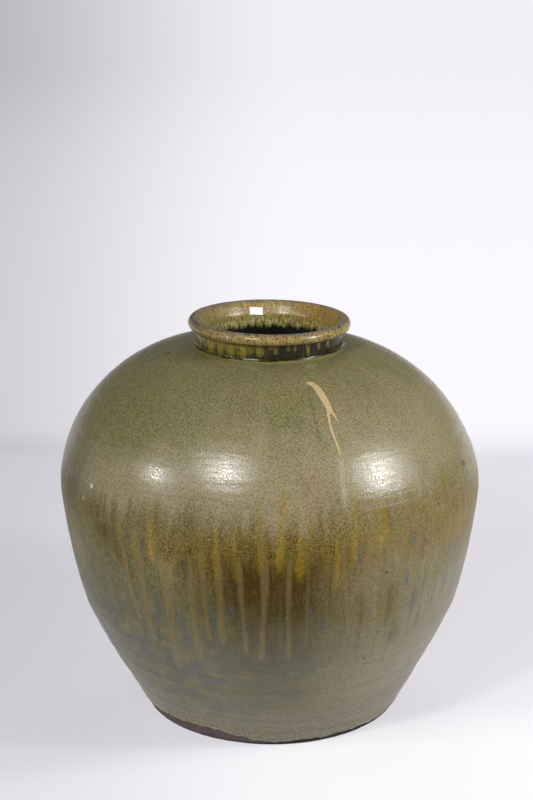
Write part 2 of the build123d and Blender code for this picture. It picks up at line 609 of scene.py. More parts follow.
@dataclass(frozen=True)
class Places:
    """Points of the jar: their azimuths, their heights and their distances from its axis."""

    azimuth: np.ndarray
    height: np.ndarray
    radius: np.ndarray

    @classmethod
    def of(cls, points: np.ndarray) -> "Places":
        """Work them out from points, one row each."""
        x, y, z = points.copy().T
        return cls(np.degrees(np.arctan2(x, -y)), z, np.maximum(np.hypot(x, y), TINY))

    def round_from(self, azimuth: float | np.ndarray) -> np.ndarray:
        """Give how far round the wall each point lies from an azimuth."""
        return np.radians(turn_between(self.azimuth, azimuth)) * self.radius


@dataclass(frozen=True)
class Lopsidedness:
    """How a jar thrown by hand leans and wanders from a true turned shape."""

    top_tilt: float = 0.95
    rim_tilt: float = 0.64
    tilt_heights: Span = (0.385, 0.455)
    rim_blend: float = 0.02
    foot_shift: float = 0.0023
    foot_shift_heights: Span = (0.045, 0.1)
    lower_shift: float = 0.0016
    lower_shift_heights: Span = (0.2, 0.32)
    wander: float = 0.0006
    wander_lobes: tuple[int, ...] = (1, 2, 3, 4, 5, 7, 9)
    wander_waves: Span = (4.0, 26.0)
    wander_starts: Span = (0.03, 0.12)
    wander_ends: Span = (0.5, 0.57)
    foot_flare: float = 0.0028
    flare_heights: Span = (0.008, 0.055)
    flare_radii: Span = (0.1, 0.18)
    least_radius: float = 0.05
    seed: int = 11

    def _wander(self, at: Places) -> np.ndarray:
        """Give slow in and out swings round the wall and up it, from a seeded draw.

        Args:
            at: The points.

        Returns:
            How far each point moves outwards.
        """
        rng = np.random.default_rng(self.seed)
        total = np.zeros_like(at.azimuth)
        for lobes in self.wander_lobes:
            rate = rng.uniform(*self.wander_waves)
            phase = rng.uniform(0.0, math.tau)
            climb = rng.choice([-1.0, 1.0]) * rate * at.height
            total += np.cos(lobes * np.radians(at.azimuth) + climb + phase) / math.sqrt(lobes)
        return total * self.wander

    def apply(self, points: np.ndarray, jar: JarShape) -> np.ndarray:
        """Move points of a true shape to where they lie on the real jar.

        Args:
            points: Places, one row each.
            jar: The jar's shape.

        Returns:
            The moved places.
        """
        at = Places.of(points)
        moved = points.copy()
        x, y, z = points.T
        in_rim = smooth(z, jar.shoulder_top - self.rim_blend, jar.shoulder_top)
        tilt = self.top_tilt + (self.rim_tilt - self.top_tilt) * in_rim
        moved[:, 2] -= x * np.tan(np.radians(tilt)) * smooth(z, *self.tilt_heights)
        moved[:, 0] += (self.foot_shift * (1 - smooth(z, *self.foot_shift_heights))
                        + self.lower_shift * (1 - smooth(z, *self.lower_shift_heights)))
        fade = smooth(z, *self.wander_starts) * (1 - smooth(z, *self.wander_ends))
        flare = self.foot_flare * smooth(at.radius, *self.flare_radii)
        flare *= 1 - smooth(z, *self.flare_heights)
        swing = (self._wander(at) * fade + flare) / np.maximum(at.radius, self.least_radius)
        moved[:, 0] += x * swing
        moved[:, 1] += y * swing
        return moved


# Runs and marks of the glaze


@dataclass(frozen=True)
class Run:
    """One run of glaze that flowed down the wall, swelling out at its lower end."""

    azimuth: float
    top: float
    bottom: float
    width: float
    strength: float = 1.0
    lean: float = 0.0
    fade: float = 0.06
    tail: float = 0.0
    sway: float = 0.16
    sway_rate: float = 34.0

    def distance(self, at: Places) -> np.ndarray:
        """Measure how far points lie from the run's middle line.

        Args:
            at: The points.

        Returns:
            0 on the middle line, 1 at the run's edge, more outside.
        """
        half = self.width / 2
        swing = self.sway * np.sin(at.height * self.sway_rate + self.azimuth * 1.7)
        across = at.round_from(self.azimuth + self.lean * (self.top - at.height) + swing)
        narrow = 1.0 - 0.22 * smooth(at.height, self.bottom + 0.015, self.bottom + 0.05)
        narrow = narrow + 0.7 * smooth(at.height, self.bottom + 0.06, self.bottom + 0.15) * (self.tail == 0)
        blunt = max(half, self.tail)
        below = np.minimum(at.height - (self.bottom + blunt), 0.0) * half / blunt
        above = np.maximum(at.height - self.top, 0.0) / self.fade
        return np.hypot(across / narrow, below) / half + above


FRONT_RUNS = (
    Run(-57.0, 0.320, 0.232, 0.010, 0.30), Run(-48.0, 0.320, 0.236, 0.008, 0.35),
    Run(-40.2, 0.318, 0.222, 0.010, 0.9, 14.0), Run(-35.2, 0.325, 0.192, 0.011, 1.0, 3.0),
    Run(-27.0, 0.330, 0.147, 0.014, 1.0, -8.0), Run(-24.4, 0.325, 0.245, 0.008, 0.5, -6.0),
    Run(-20.4, 0.305, 0.171, 0.010), Run(-17.2, 0.345, 0.211, 0.008, 0.8, 2.0),
    Run(-12.9, 0.315, 0.204, 0.012, 0.8), Run(-7.3, 0.320, 0.192, 0.008, 0.9, 2.0),
    Run(-1.2, 0.330, 0.182, 0.009, 0.9, -9.0), Run(4.8, 0.320, 0.182, 0.007, 0.75),
    Run(9.6, 0.300, 0.205, 0.006, 0.5), Run(14.8, 0.310, 0.190, 0.006, 0.6),
    Run(19.0, 0.330, 0.212, 0.009, 0.8, 20.0), Run(25.5, 0.330, 0.170, 0.014, 0.6, 4.0),
    Run(31.5, 0.320, 0.155, 0.013, 0.8), Run(36.4, 0.390, 0.155, 0.008, 0.7),
    Run(42.5, 0.330, 0.205, 0.009, 0.5, 5.0), Run(46.0, 0.330, 0.195, 0.008, 0.6, 6.0),
    Run(52.0, 0.370, 0.215, 0.013, 0.6), Run(57.5, 0.340, 0.230, 0.009, 0.5),
    Run(64.0, 0.350, 0.240, 0.010, 0.5), Run(71.0, 0.340, 0.215, 0.009, 0.5),
)

SHORT, LONG = ({"fade": 0.03, "tail": tail} for tail in (0.02, 0.03))
OCHRE_STREAKS = (
    Run(-41.0, 0.372, 0.325, 0.012, 0.35, **SHORT), Run(-36.5, 0.378, 0.325, 0.012, 0.4, **SHORT),
    Run(-31.3, 0.385, 0.322, 0.013, 0.9, **SHORT), Run(-17.2, 0.380, 0.315, 0.012, 0.5, **SHORT),
    Run(-13.4, 0.395, 0.305, 0.012, 0.7, **LONG), Run(-8.4, 0.390, 0.310, 0.013, 0.5, **LONG),
    Run(-2.6, 0.440, 0.325, 0.011, 0.55, **LONG), Run(3.2, 0.435, 0.330, 0.014, 1.0, -8.0, 0.02, 0.04),
    Run(7.6, 0.375, 0.310, 0.015, 0.65, **LONG), Run(10.1, 0.440, 0.350, 0.010, 0.55, fade=0.03, tail=0.04),
    Run(16.8, 0.350, 0.290, 0.013, 0.6, **SHORT), Run(21.8, 0.440, 0.330, 0.014, 0.55, **LONG),
    Run(26.0, 0.415, 0.340, 0.009, 0.4, **SHORT), Run(29.6, 0.412, 0.345, 0.020, 0.9, fade=0.02, tail=0.03),
    Run(36.5, 0.425, 0.340, 0.009, 0.35, **SHORT), Run(41.0, 0.430, 0.330, 0.011, 0.35, **SHORT),
    Run(47.0, 0.400, 0.340, 0.014, 0.45, **SHORT), Run(51.0, 0.390, 0.325, 0.016, 0.45, **SHORT),
    Run(54.5, 0.435, 0.320, 0.013, 0.6, **LONG), Run(59.5, 0.380, 0.325, 0.016, 0.55, **SHORT),
    Run(63.3, 0.440, 0.340, 0.009, 0.9, fade=0.02, tail=0.02),
    Run(66.5, 0.430, 0.360, 0.006, 0.8, fade=0.02, tail=0.02),
    Run(70.5, 0.435, 0.335, 0.014, 0.6, **SHORT),
)

PALE_TRAIL = (Run(20.2, 0.478, 0.415, 0.009, 0.4, -14.0, 0.01, 0.02),)

NECK_RUN_TOP, NECK_RUN_FADE = 0.604, 0.01
NECK_RUNS = tuple(
    Run(azimuth, NECK_RUN_TOP, bottom, width, strength, fade=NECK_RUN_FADE)
    for azimuth, bottom, width, strength in (
        (-68.0, 0.579, 0.012, 1.0), (-52.0, 0.577, 0.014, 0.8), (-41.0, 0.578, 0.010, 1.0),
        (-31.0, 0.580, 0.011, 0.8), (-20.0, 0.577, 0.011, 1.0), (-7.0, 0.580, 0.012, 0.7),
        (4.4, 0.584, 0.010, 0.8), (0.2, 0.592, 0.006, 0.7), (14.0, 0.590, 0.007, 0.8),
        (19.5, 0.590, 0.006, 0.8), (30.2, 0.578, 0.0085, 1.0), (40.2, 0.586, 0.0075, 1.0),
        (50.5, 0.584, 0.0080, 1.0),
    )
)


@dataclass(frozen=True)
class RunMaker:
    """Draws the runs on the sides that the photograph doesn't show, in the manner of the front ones."""

    seed: int
    azimuths: Span
    spacing: float
    top: Span
    bottom: Span
    width: Span
    fade: float = 0.06
    strength: Span = (0.4, 1.0)
    tail: float = 0.0
    lean: Span = (-8.0, 8.0)
    unevenness: Span = (0.5, 1.6)

    def runs(self) -> tuple[Run, ...]:
        """Draw the runs, one after the other round the wall.

        Returns:
            The runs.
        """
        rng = np.random.default_rng(self.seed)
        made = []
        azimuth, last = self.azimuths
        while azimuth < last:
            top, bottom, width, lean, strength = (
                rng.uniform(*span) for span in (self.top, self.bottom, self.width, self.lean, self.strength)
            )
            made.append(Run(azimuth, top, bottom, width, strength, lean, self.fade, self.tail))
            azimuth += self.spacing * rng.uniform(*self.unevenness)
        return tuple(made)


HIDDEN_RUNS = RunMaker(3, (77.0, 296.0), 6.0, (0.30, 0.35), (0.15, 0.24), (0.007, 0.014))
HIDDEN_STREAKS = RunMaker(
    8, (75.0, 292.0), 5.5, (0.36, 0.43), (0.31, 0.35), (0.009, 0.020), 0.03, (0.3, 0.9), 0.025
)
HIDDEN_NECK_RUNS = RunMaker(35, (66.0, 286.0), 9.0, (0.602, 0.606), (0.575, 0.592), (0.003, 0.010), 0.01)


def coverage(runs: Iterable[Run], at: Places) -> np.ndarray:
    """Give each point's share of glaze, from 0, bare, to 1, in the middle of a strong run.

    Args:
        runs: The runs.
        at: The points.

    Returns:
        The shares.
    """
    share = np.zeros_like(at.azimuth)
    for run in runs:
        np.maximum(share, run.strength * (1.0 - smooth(run.distance(at), 0.45, 1.25)), out=share)
    return share


@dataclass(frozen=True)
class Spot:
    """A small pit or chip in the glaze."""

    azimuth: float
    height: float
    radius: float
    strength: float = 0.85


PITS = (
    Spot(31.4, 0.309, 0.0024), Spot(31.0, 0.211, 0.0022), Spot(28.2, 0.1665, 0.0022),
    Spot(67.2, 0.4245, 0.0055, 0.7), Spot(-76.0, 0.568, 0.0045, 0.7),
    Spot(118.0, 0.372, 0.0030), Spot(203.0, 0.296, 0.0026),
)
CHIPS = (
    Spot(-54.4, 0.4075, 0.0034, 0.9), Spot(-57.6, 0.3864, 0.0026, 0.4), Spot(162.0, 0.431, 0.0026, 0.6),
)


class Tone(Enum):
    """Tones of the soft patches in the glaze, by the name of the number that carries them."""

    GREY = "grey_patches"
    GOLD = "gold_patches"
    BROWN = "brown_patches"
    PALE = "pale_patches"


@dataclass(frozen=True)
class Smudge:
    """A soft patch of another tone in the glaze."""

    azimuth: float
    height: float
    half_width: float
    half_height: float
    strength: float = 1.0


SMUDGES = {
    Tone.GREY: (
        Smudge(14.2, 0.238, 0.006, 0.018), Smudge(22.8, 0.347, 0.008, 0.018, 0.8),
        Smudge(40.0, 0.352, 0.012, 0.016, 0.9), Smudge(38.5, 0.290, 0.007, 0.022, 0.7),
        Smudge(42.6, 0.245, 0.010, 0.026, 0.9), Smudge(45.5, 0.212, 0.008, 0.020, 0.7),
        Smudge(57.0, 0.250, 0.010, 0.030, 0.6), Smudge(30.5, 0.262, 0.009, 0.022, 0.5),
        Smudge(24.0, 0.215, 0.010, 0.025, 0.5), Smudge(-31.5, 0.248, 0.010, 0.040, 0.7),
        Smudge(-24.0, 0.215, 0.012, 0.035, 0.8), Smudge(-15.2, 0.250, 0.006, 0.030, 0.8),
        Smudge(-10.0, 0.262, 0.007, 0.018, 0.8), Smudge(-4.4, 0.268, 0.005, 0.018, 0.6),
        Smudge(2.2, 0.245, 0.008, 0.020, 0.6), Smudge(10.8, 0.262, 0.005, 0.016, 0.7),
        Smudge(-20.0, 0.135, 0.050, 0.016, 0.7), Smudge(-8.0, 0.130, 0.060, 0.012, 0.6),
        Smudge(-30.0, 0.100, 0.035, 0.014, 0.7), Smudge(-17.0, 0.075, 0.030, 0.014, 0.8),
        Smudge(33.0, 0.395, 0.006, 0.020, 0.5), Smudge(26.3, 0.385, 0.006, 0.020, 0.5),
    ),
    Tone.BROWN: (
        Smudge(-68.0, 0.405, 0.062, 0.060, 0.95), Smudge(-52.5, 0.383, 0.034, 0.034, 0.60),
        Smudge(3.5, 0.352, 0.040, 0.032, 0.35), Smudge(-47.5, 0.353, 0.026, 0.015, 0.8),
        Smudge(-42.0, 0.335, 0.014, 0.026, 0.6), Smudge(30.4, 0.391, 0.008, 0.022, 0.6),
        Smudge(33.0, 0.262, 0.014, 0.040, 0.7), Smudge(25.0, 0.255, 0.010, 0.030, 0.7),
        Smudge(36.5, 0.205, 0.010, 0.030, 0.5), Smudge(140.0, 0.360, 0.040, 0.030, 0.7),
        Smudge(236.0, 0.375, 0.050, 0.035, 0.8),
    ),
    Tone.GOLD: (
        Smudge(-31.2, 0.377, 0.010, 0.022, 1.0), Smudge(-14.3, 0.353, 0.018, 0.022, 0.8),
        Smudge(-9.2, 0.372, 0.011, 0.022, 0.7), Smudge(-3.1, 0.350, 0.016, 0.022, 0.8),
        Smudge(3.3, 0.357, 0.012, 0.030, 0.9), Smudge(7.5, 0.347, 0.014, 0.022, 0.9),
        Smudge(17.6, 0.350, 0.012, 0.020, 0.6), Smudge(49.5, 0.352, 0.026, 0.012, 0.7),
        Smudge(57.0, 0.382, 0.030, 0.030, 0.5), Smudge(67.0, 0.405, 0.018, 0.045, 0.7),
        Smudge(128.0, 0.362, 0.060, 0.022, 0.6), Smudge(214.0, 0.360, 0.060, 0.022, 0.6),
    ),
    Tone.PALE: (
        Smudge(-66.0, 0.285, 0.050, 0.060, 0.6), Smudge(-27.0, 0.318, 0.016, 0.030, 0.8),
        Smudge(34.0, 0.318, 0.018, 0.030, 0.5), Smudge(47.0, 0.300, 0.020, 0.040, 0.5),
        Smudge(150.0, 0.300, 0.040, 0.050, 0.6), Smudge(255.0, 0.290, 0.050, 0.050, 0.6),
    ),
}


# Finishes


@dataclass(frozen=True)
class OliveGlaze:
    """Satin ash glaze of the body: olive above, an ochre and umber belt, a grey-brown wall below."""

    jar: JarShape
    lean: Lopsidedness
    olive: Rgb = srgb(118, 112, 68)
    straw: Rgb = srgb(147, 136, 104)
    ochre: Rgb = srgb(100, 80, 8)
    gold: Rgb = srgb(148, 120, 22)
    umber: Rgb = srgb(66, 48, 2)
    bark: Rgb = srgb(76, 63, 23)
    drab: Rgb = srgb(84, 77, 43)
    moss: Rgb = srgb(98, 90, 50)
    fern: Rgb = srgb(92, 84, 44)
    peat: Rgb = srgb(73, 66, 34)
    yellow_moss: Rgb = srgb(126, 116, 62)
    stone: Rgb = srgb(117, 107, 73)
    tan: Rgb = srgb(122, 112, 80)
    foot: Rgb = srgb(111, 103, 74)
    pale: Rgb = srgb(138, 132, 92)
    green: Rgb = srgb(104, 104, 60)
    warm: Rgb = srgb(134, 114, 72)
    blue_grey: Rgb = srgb(72, 78, 72)
    run: Rgb = srgb(118, 99, 56)
    cream: Rgb = srgb(212, 190, 142)
    trail: Rgb = srgb(176, 170, 148)
    halo: Rgb = srgb(138, 104, 50)
    dark: Rgb = srgb(44, 42, 14)
    pit: Rgb = srgb(36, 30, 20)
    chip: Rgb = srgb(196, 190, 172)
    mustard: Rgb = srgb(116, 100, 42)
    khaki: Rgb = srgb(96, 85, 30)
    brown: Rgb = srgb(78, 62, 6)
    matt: float = 0.40
    gloss: float = 0.28
    indexes: Span = (1.20, 1.57)
    top: float = 620.0
    girth: float = 0.325

    def material(self) -> bpy.types.Material:
        """Build the material, whose surface is glossier above and below the belt.

        Returns:
            The material.
        """
        g = WallGraph("olive_glaze")
        sway = (g.noise(g.point, 17.0) - 0.5) * 0.02
        broad = g.noise(g.streaks(self.girth, 0.05), 34.0)
        g.streak = g.noise(g.streaks(self.girth, 0.09, sway), 95.0, 3.0, 0.6)
        g.fine = g.noise(g.streaks(self.girth, 0.16, sway), 240.0, 3.0, 0.7)
        g.patch = g.noise(g.point, 36.0, 5.0, 0.70)
        g.grain = g.noise(g.point, 420.0, 2.0, 0.7)
        g.dust = g.noise(g.point, 210.0, 3.0, 0.8)
        wobble = (broad - 0.5) * 80.0 + (g.streak - 0.5) * 56.0 + (g.fine - 0.5) * 16.0
        colour = self._zones(g, g.height + wobble * g.rise(g.height, 60.0, 200.0))
        for lay in (self._tinted, self._streaky, self._mottled, self._gold_and_runs, self._cream_run,
                    self._speckle, self._spots):
            colour = lay(g, colour)
        upper = g.rise(g.height + (g.patch - 0.5) * 20.0, 362.0, 415.0)
        lower = 1.0 - g.rise(g.height - g.rise(g.azimuth, 26.0, 60.0) * 70.0, 180.0, 270.0)
        glassy = g.rise(g.noise(g.point, 950.0, 2.0, 0.7), 0.36, 0.66) * upper
        rough = self.matt + (g.patch - 0.5) * 0.08 - glassy * self.gloss - lower * 0.06
        normal = g.bump(self._skin(g), 0.0002)
        low, high = (
            g.surface(Base_Color=colour, Roughness=rough, Normal=normal, IOR=index)
            for index in self.indexes
        )
        share = g.most(upper, lower, g.rise(g.attribute("belt"), 0.40, 0.0) * 0.5)
        share = share * (1.0 - 0.9 * g.rise(g.attribute(Tone.BROWN.value), 0.0, 1.0))
        return g.show(g.blend(share, low, high))

    def _skin(self, g: WallGraph) -> Signal:
        """Give the height pattern of the skin: flat grains, pits between, faint throwing ripples."""
        pits = g.rise(g.grain, 0.30, 0.56)
        return pits * 0.40 + g.noise(g.point, 90.0) * 0.9 + g.noise(g.streaks(self.girth, 6.0), 22.0) * 1.9

    def _ramp(self, g: Graph, level: Signal, *stops: tuple[float, Rgb]) -> Signal:
        """Give the colour of a height level from stops at heights in mm."""
        places = [(height / self.top, colour) for height, colour in stops]
        return g.node("ShaderNodeValToRGB", {"stops": places}, {"Fac": level / self.top})

    def _zones(self, g: Graph, level: Signal) -> Signal:
        """Lay the belts by height: deepest in front, paler and higher towards both sides.

        Args:
            g: Graph of the finish.
            level: Height in mm, with its wobble.

        Returns:
            The colour.
        """
        deep = self._ramp(
            g, level, (50.0, self.foot), (115.0, self.fern), (185.0, self.peat), (232.0, self.bark),
            (275.0, self.umber), (325.0, self.umber), (366.0, self.ochre), (418.0, self.straw),
            (470.0, self.straw), (550.0, self.olive),
        )
        right = self._ramp(
            g, level, (40.0, self.foot), (120.0, self.tan), (190.0, self.stone), (310.0, self.stone),
            (340.0, self.mustard), (400.0, self.mustard), (445.0, self.straw), (500.0, self.straw),
            (575.0, self.olive),
        )
        left = self._ramp(
            g, level, (40.0, self.tan), (100.0, self.moss), (170.0, self.drab), (240.0, self.moss),
            (318.0, self.moss), (340.0, self.khaki), (382.0, self.khaki), (424.0, self.straw),
            (446.0, self.straw), (500.0, self.olive),
        )
        return g.coats(right, (left, g.attribute("left")), (deep, g.attribute("belt")))

    def _tinted(self, g: WallGraph, colour: Signal) -> Signal:
        """Let the olive drift between a greener and a warmer tone, darken the upper left side with painted
        shade and lighten the upper right side with painted light, and lay the brown and pale patches.

        Args:
            g: Graph of the finish.
            colour: The colour under them.

        Returns:
            The colour with them.
        """
        drift = g.noise(g.point, 9.0, 3.0, 0.6)
        high = g.rise(g.height, 380.0, 450.0)
        painted_shade_left, painted_light_right = g.band(g.azimuth, -110.0, -72.0, 38.0), g.band(g.azimuth, 66.0, 110.0, 34.0)
        ragged = 0.55 + 0.9 * g.patch
        colour = g.coats(
            colour,
            (self.green, g.rise(drift, 0.52, 0.36) * high * 0.45),
            (self.warm, g.rise(drift, 0.50, 0.66) * high * 0.40),
        )
        # Painted shade darkens the upper left side, painted light brightens the upper right side.
        return g.coats(
            g.shade(colour, 1.0 + high * (0.10 * painted_light_right - 0.16 * painted_shade_left)),
            (self.brown, g.attribute(Tone.BROWN.value) * ragged * 0.90),
            (self.ochre, g.attribute(Tone.GOLD.value) * ragged * 0.8),
            (self.pale, g.attribute(Tone.PALE.value) * ragged * 0.6),
        )

    def _streaky(self, g: WallGraph, colour: Signal) -> Signal:
        """Draw the flowed streaks of a run glaze, strongest on the lower belly."""
        low = g.rise(g.height, 130.0, 200.0) * (1.0 - g.rise(g.height, 350.0, 450.0))
        return g.coats(
            colour,
            (self.dark, g.rise(g.streak, 0.50, 0.30) * (0.03 + 0.34 * low)),
            (self.stone, g.rise(g.streak, 0.52, 0.70) * (0.05 + 0.14 * low)),
            (self.stone, g.rise(g.fine, 0.50, 0.72) * (0.04 + 0.16 * low)),
            (self.dark, g.rise(g.fine, 0.48, 0.28) * (0.03 + 0.16 * low)),
        )

    def _mottled(self, g: WallGraph, colour: Signal) -> Signal:
        """Lay grey-blue clouds and yellow-olive mottling over the lower wall, and dark smudges.

        Args:
            g: Graph of the finish.
            colour: The colour under them.

        Returns:
            The colour with them.
        """
        low = 1.0 - g.rise(g.height + (g.patch - 0.5) * 80.0, 225.0, 310.0)
        low = low * g.rise(g.height, 20.0, 70.0)
        left = g.attribute("left")
        cloud = g.patch + (g.dust - 0.5) * 1.8 + (g.fine - 0.5) * 0.25
        smudge = g.attribute(Tone.GREY.value) + (g.fine - 0.5) * 0.7 + (g.dust - 0.5) * 0.8
        return g.coats(
            colour,
            (self.blue_grey, g.rise(cloud, 0.50, 0.64) * low * (0.24 + 0.62 * left)),
            (self.yellow_moss, g.rise(cloud, 0.50, 0.36) * low * (0.18 + 0.66 * left)),
            (self.blue_grey, g.rise(smudge, 0.26, 0.80) * 0.62),
        )

    def _gold_and_runs(self, g: WallGraph, colour: Signal) -> Signal:
        """Lay the gold streaks, the brown runs with their darker edges, the worn lines, and a painted
        highlight along the bead at the coat's lower end.

        Args:
            g: Graph of the finish.
            colour: The colour under them.

        Returns:
            The colour with them.
        """
        share = g.attribute("runs") + (g.fine - 0.5) * 0.20
        low = 1.0 - g.rise(g.height, 270.0, 330.0)
        return g.coats(
            colour,
            (self.gold, g.attribute("streaks") * (0.25 + 0.75 * g.fine)),
            (self.blue_grey, g.band(share, 0.10, 0.24, 0.10) * low * 0.34),
            (self.run, g.rise(share, 0.02, 0.80) * 0.60),
            (self.trail, g.attribute("trail") * 1.6),
            (self.dark, g.attribute("crack") * 0.5),
            (self.trail, g.attribute("creases") * (0.04 + 0.20 * g.fine)),
            # Painted highlight along the bead at the coat's lower end, in the pale trail's colour.
            (self.trail, g.attribute("edge") * (0.15 + 0.5 * g.fine)),
        )

    def _cream_run(self, g: WallGraph, colour: Signal) -> Signal:
        """Lay the pale run that starts under the neck, with its brown halo.

        Args:
            g: Graph of the finish.
            colour: The colour under them.

        Returns:
            The colour with it.
        """
        distance = g.attribute("cream") + (g.grain - 0.5) * 0.3
        halo, middle = (1.0 - g.rise(distance, 1.0, 1.7)) * 0.6, 1.0 - g.rise(distance, 0.75, 1.05)
        return g.coats(colour, (self.halo, halo), (self.cream, middle))

    def _speckle(self, g: WallGraph, colour: Signal) -> Signal:
        """Lay the fine tea-dust grain over the whole, and dark specks where they crowd.

        Args:
            g: Graph of the finish.
            colour: The colour under them.

        Returns:
            The colour with them.
        """
        high = g.rise(g.height, 320.0, 400.0)
        clear = 1.0 - 0.8 * g.attribute(Tone.BROWN.value)
        amount = 0.62 - 0.48 * high + 0.25 * g.attribute("left") * (1.0 - high)
        amount = amount * (1.0 - 0.45 * g.rise(g.attribute("runs"), 0.10, 0.60))
        crowd = g.attribute("crowd")
        specks = 1.0 - g.rise(g.dots(g.point, 430.0) - 0.50 * crowd, -0.10, 0.02)
        colour = g.coats(
            colour,
            (self.straw, g.rise(g.grain, 0.38, 0.70) * 0.58 * high * clear),
            (self.dark, g.rise(g.grain, 0.62, 0.30) * 0.50 * high),
        )
        colour = g.shade(colour, 1.0 + (g.rise(g.dust, 0.32, 0.68) - 0.5) * amount)
        return g.coats(colour, (self.gold, crowd * 0.25), (self.pit, specks * 0.9))

    def _spots(self, g: WallGraph, colour: Signal) -> Signal:
        """Lay the pits and chips at their places."""
        for spot, paint in [(pit, self.pit) for pit in PITS] + [(chip, self.chip) for chip in CHIPS]:
            place = self.lean.apply(self.jar.surface_point(spot.azimuth, spot.height)[None, :], self.jar)[0]
            colour = g.mix(colour, paint, g.spot(g.point, place, spot.radius) * spot.strength)
        return colour


@dataclass(frozen=True)
class NeckGlaze:
    """Thick dark glaze of the collar with yellow runs, under an amber rolled rim."""

    body: OliveGlaze
    dark: Rgb = srgb(26, 27, 6)
    brown_black: Rgb = srgb(60, 47, 8)
    moss: Rgb = srgb(88, 86, 20)
    yellow: Rgb = srgb(142, 130, 36)
    rust: Rgb = srgb(132, 98, 26)
    amber: Rgb = srgb(168, 146, 98)
    brown: Rgb = srgb(104, 74, 40)
    crest: Rgb = srgb(126, 112, 108)
    speck: Rgb = srgb(36, 25, 18)
    roughness: float = 0.22
    index: float = 1.36
    girth: float = 0.115

    def material(self) -> bpy.types.Material:
        """Build the material: the dark wall below, the amber rim above.

        Returns:
            The material.
        """
        g = WallGraph("neck_glaze")
        g.fine = g.noise(g.streaks(self.girth, 0.30), 560.0, 3.0, 0.7)
        g.streak = g.noise(g.streaks(self.girth, 0.16), 190.0, 3.0, 0.65)
        g.blotch = g.noise(g.point, 40.0, 3.0, 0.6)
        g.grain = g.noise(g.point, 360.0, 2.0, 0.7)
        crest = g.rise(g.attribute("crest") + (g.fine - 0.5) * 1.2 + (g.blotch - 0.5) * 1.4, 0.04, 0.46)
        rim_share = g.rise(g.height + (g.streak - 0.5) * 7.0, 600.5, 602.5)
        colour = g.mix(self._wall(g), self._rim(g, crest), rim_share)
        rough = self.roughness - rim_share * 0.02 + crest * rim_share * 0.18 + (g.grain - 0.5) * 0.3
        normal = g.bump(g.grain * 0.4 + g.blotch, 0.0004)
        return g.show(g.surface(Base_Color=colour, Roughness=rough, Normal=normal, IOR=self.index))

    def _wall(self, g: WallGraph) -> Signal:
        """Give the collar's dark wall with its yellow runs, which fades into the body's olive below.

        Args:
            g: Graph of the finish.

        Returns:
            The colour.
        """
        flow = 1.0 - g.rise(g.azimuth + (g.streak - 0.5) * 30.0, -18.0, 6.0)
        flow = flow * (1.0 - g.rise(g.azimuth, -120.0, -150.0)) + g.rise(g.azimuth, 75.0, 110.0) * 0.8
        share = g.attribute("runs") * 0.80 + (g.streak - 0.5) * 1.1 + (g.fine - 0.5) * 2.4
        share = share + flow * 0.66 + (g.height - 595.0) * 0.020
        paint = g.coats(
            self.yellow,
            (self.rust, g.rise(g.blotch + (g.fine - 0.5) * 1.6, 0.44, 0.62) * 0.75),
            (self.moss, g.rise(g.streak + (g.grain - 0.5) * 0.6, 0.46, 0.60) * 0.45),
            (self.brown_black, g.rise(g.fine, 0.48, 0.34) * 0.7),
            (self.moss, g.rise(g.height + (g.fine - 0.5) * 16.0, 592.0, 580.0) * 0.75),
        )
        wall = g.coats(
            self.dark,
            (self.brown_black, g.rise(g.streak, 0.45, 0.68) * 0.8),
            (paint, g.rise(share, 0.20, 0.86) * 0.92),
            (self.dark, g.rise(g.grain, 0.46, 0.30) * 0.45),
        )
        olive = g.mix(self.body.olive, self.body.dark, g.rise(g.grain, 0.52, 0.30) * 0.45)
        ragged = g.height + (g.blotch - 0.5) * 5.0 + (g.grain - 0.5) * 3.0
        return g.mix(olive, wall, g.rise(ragged, 575.6, 577.2))

    def _rim(self, g: WallGraph, crest: Signal) -> Signal:
        """Give the rolled rim: amber with brown streaks and specks, a purple-grey crest, and painted shade
        on its left side.

        Args:
            g: Graph of the finish.
            crest: Share of the crest, from 0 to 1.

        Returns:
            The colour.
        """
        rim = g.coats(
            self.amber,
            (self.yellow, g.rise(g.blotch, 0.44, 0.58) * 0.5),
            (self.rust, g.rise(g.blotch, 0.50, 0.36) * 0.5),
            (self.brown, g.rise(g.fine, 0.48, 0.70) * 0.55),
            (self.yellow, g.rise(g.height + (g.streak - 0.5) * 5.0, 604.5, 601.5) * 0.6),
            (self.crest, crest * g.rise(g.grain, 0.26, 0.56) * 0.90),
            (self.brown, g.rise(g.grain + (g.blotch - 0.5) * 0.8, 0.54, 0.70) * 0.35),
        )
        # Painted shade: the rim is darker on its left side.
        rim = g.shade(rim, 1.0 - 0.22 * g.rise(g.azimuth, -5.0, -50.0) * g.rise(g.azimuth, -170.0, -130.0))
        specks = 1.0 - g.rise(g.dots(g.point, 230.0) - 0.10 * crest, 0.26, 0.38)
        return g.coats(rim, (self.speck, g.rise(g.grain, 0.46, 0.28) * 0.7), (self.speck, specks * 0.75))


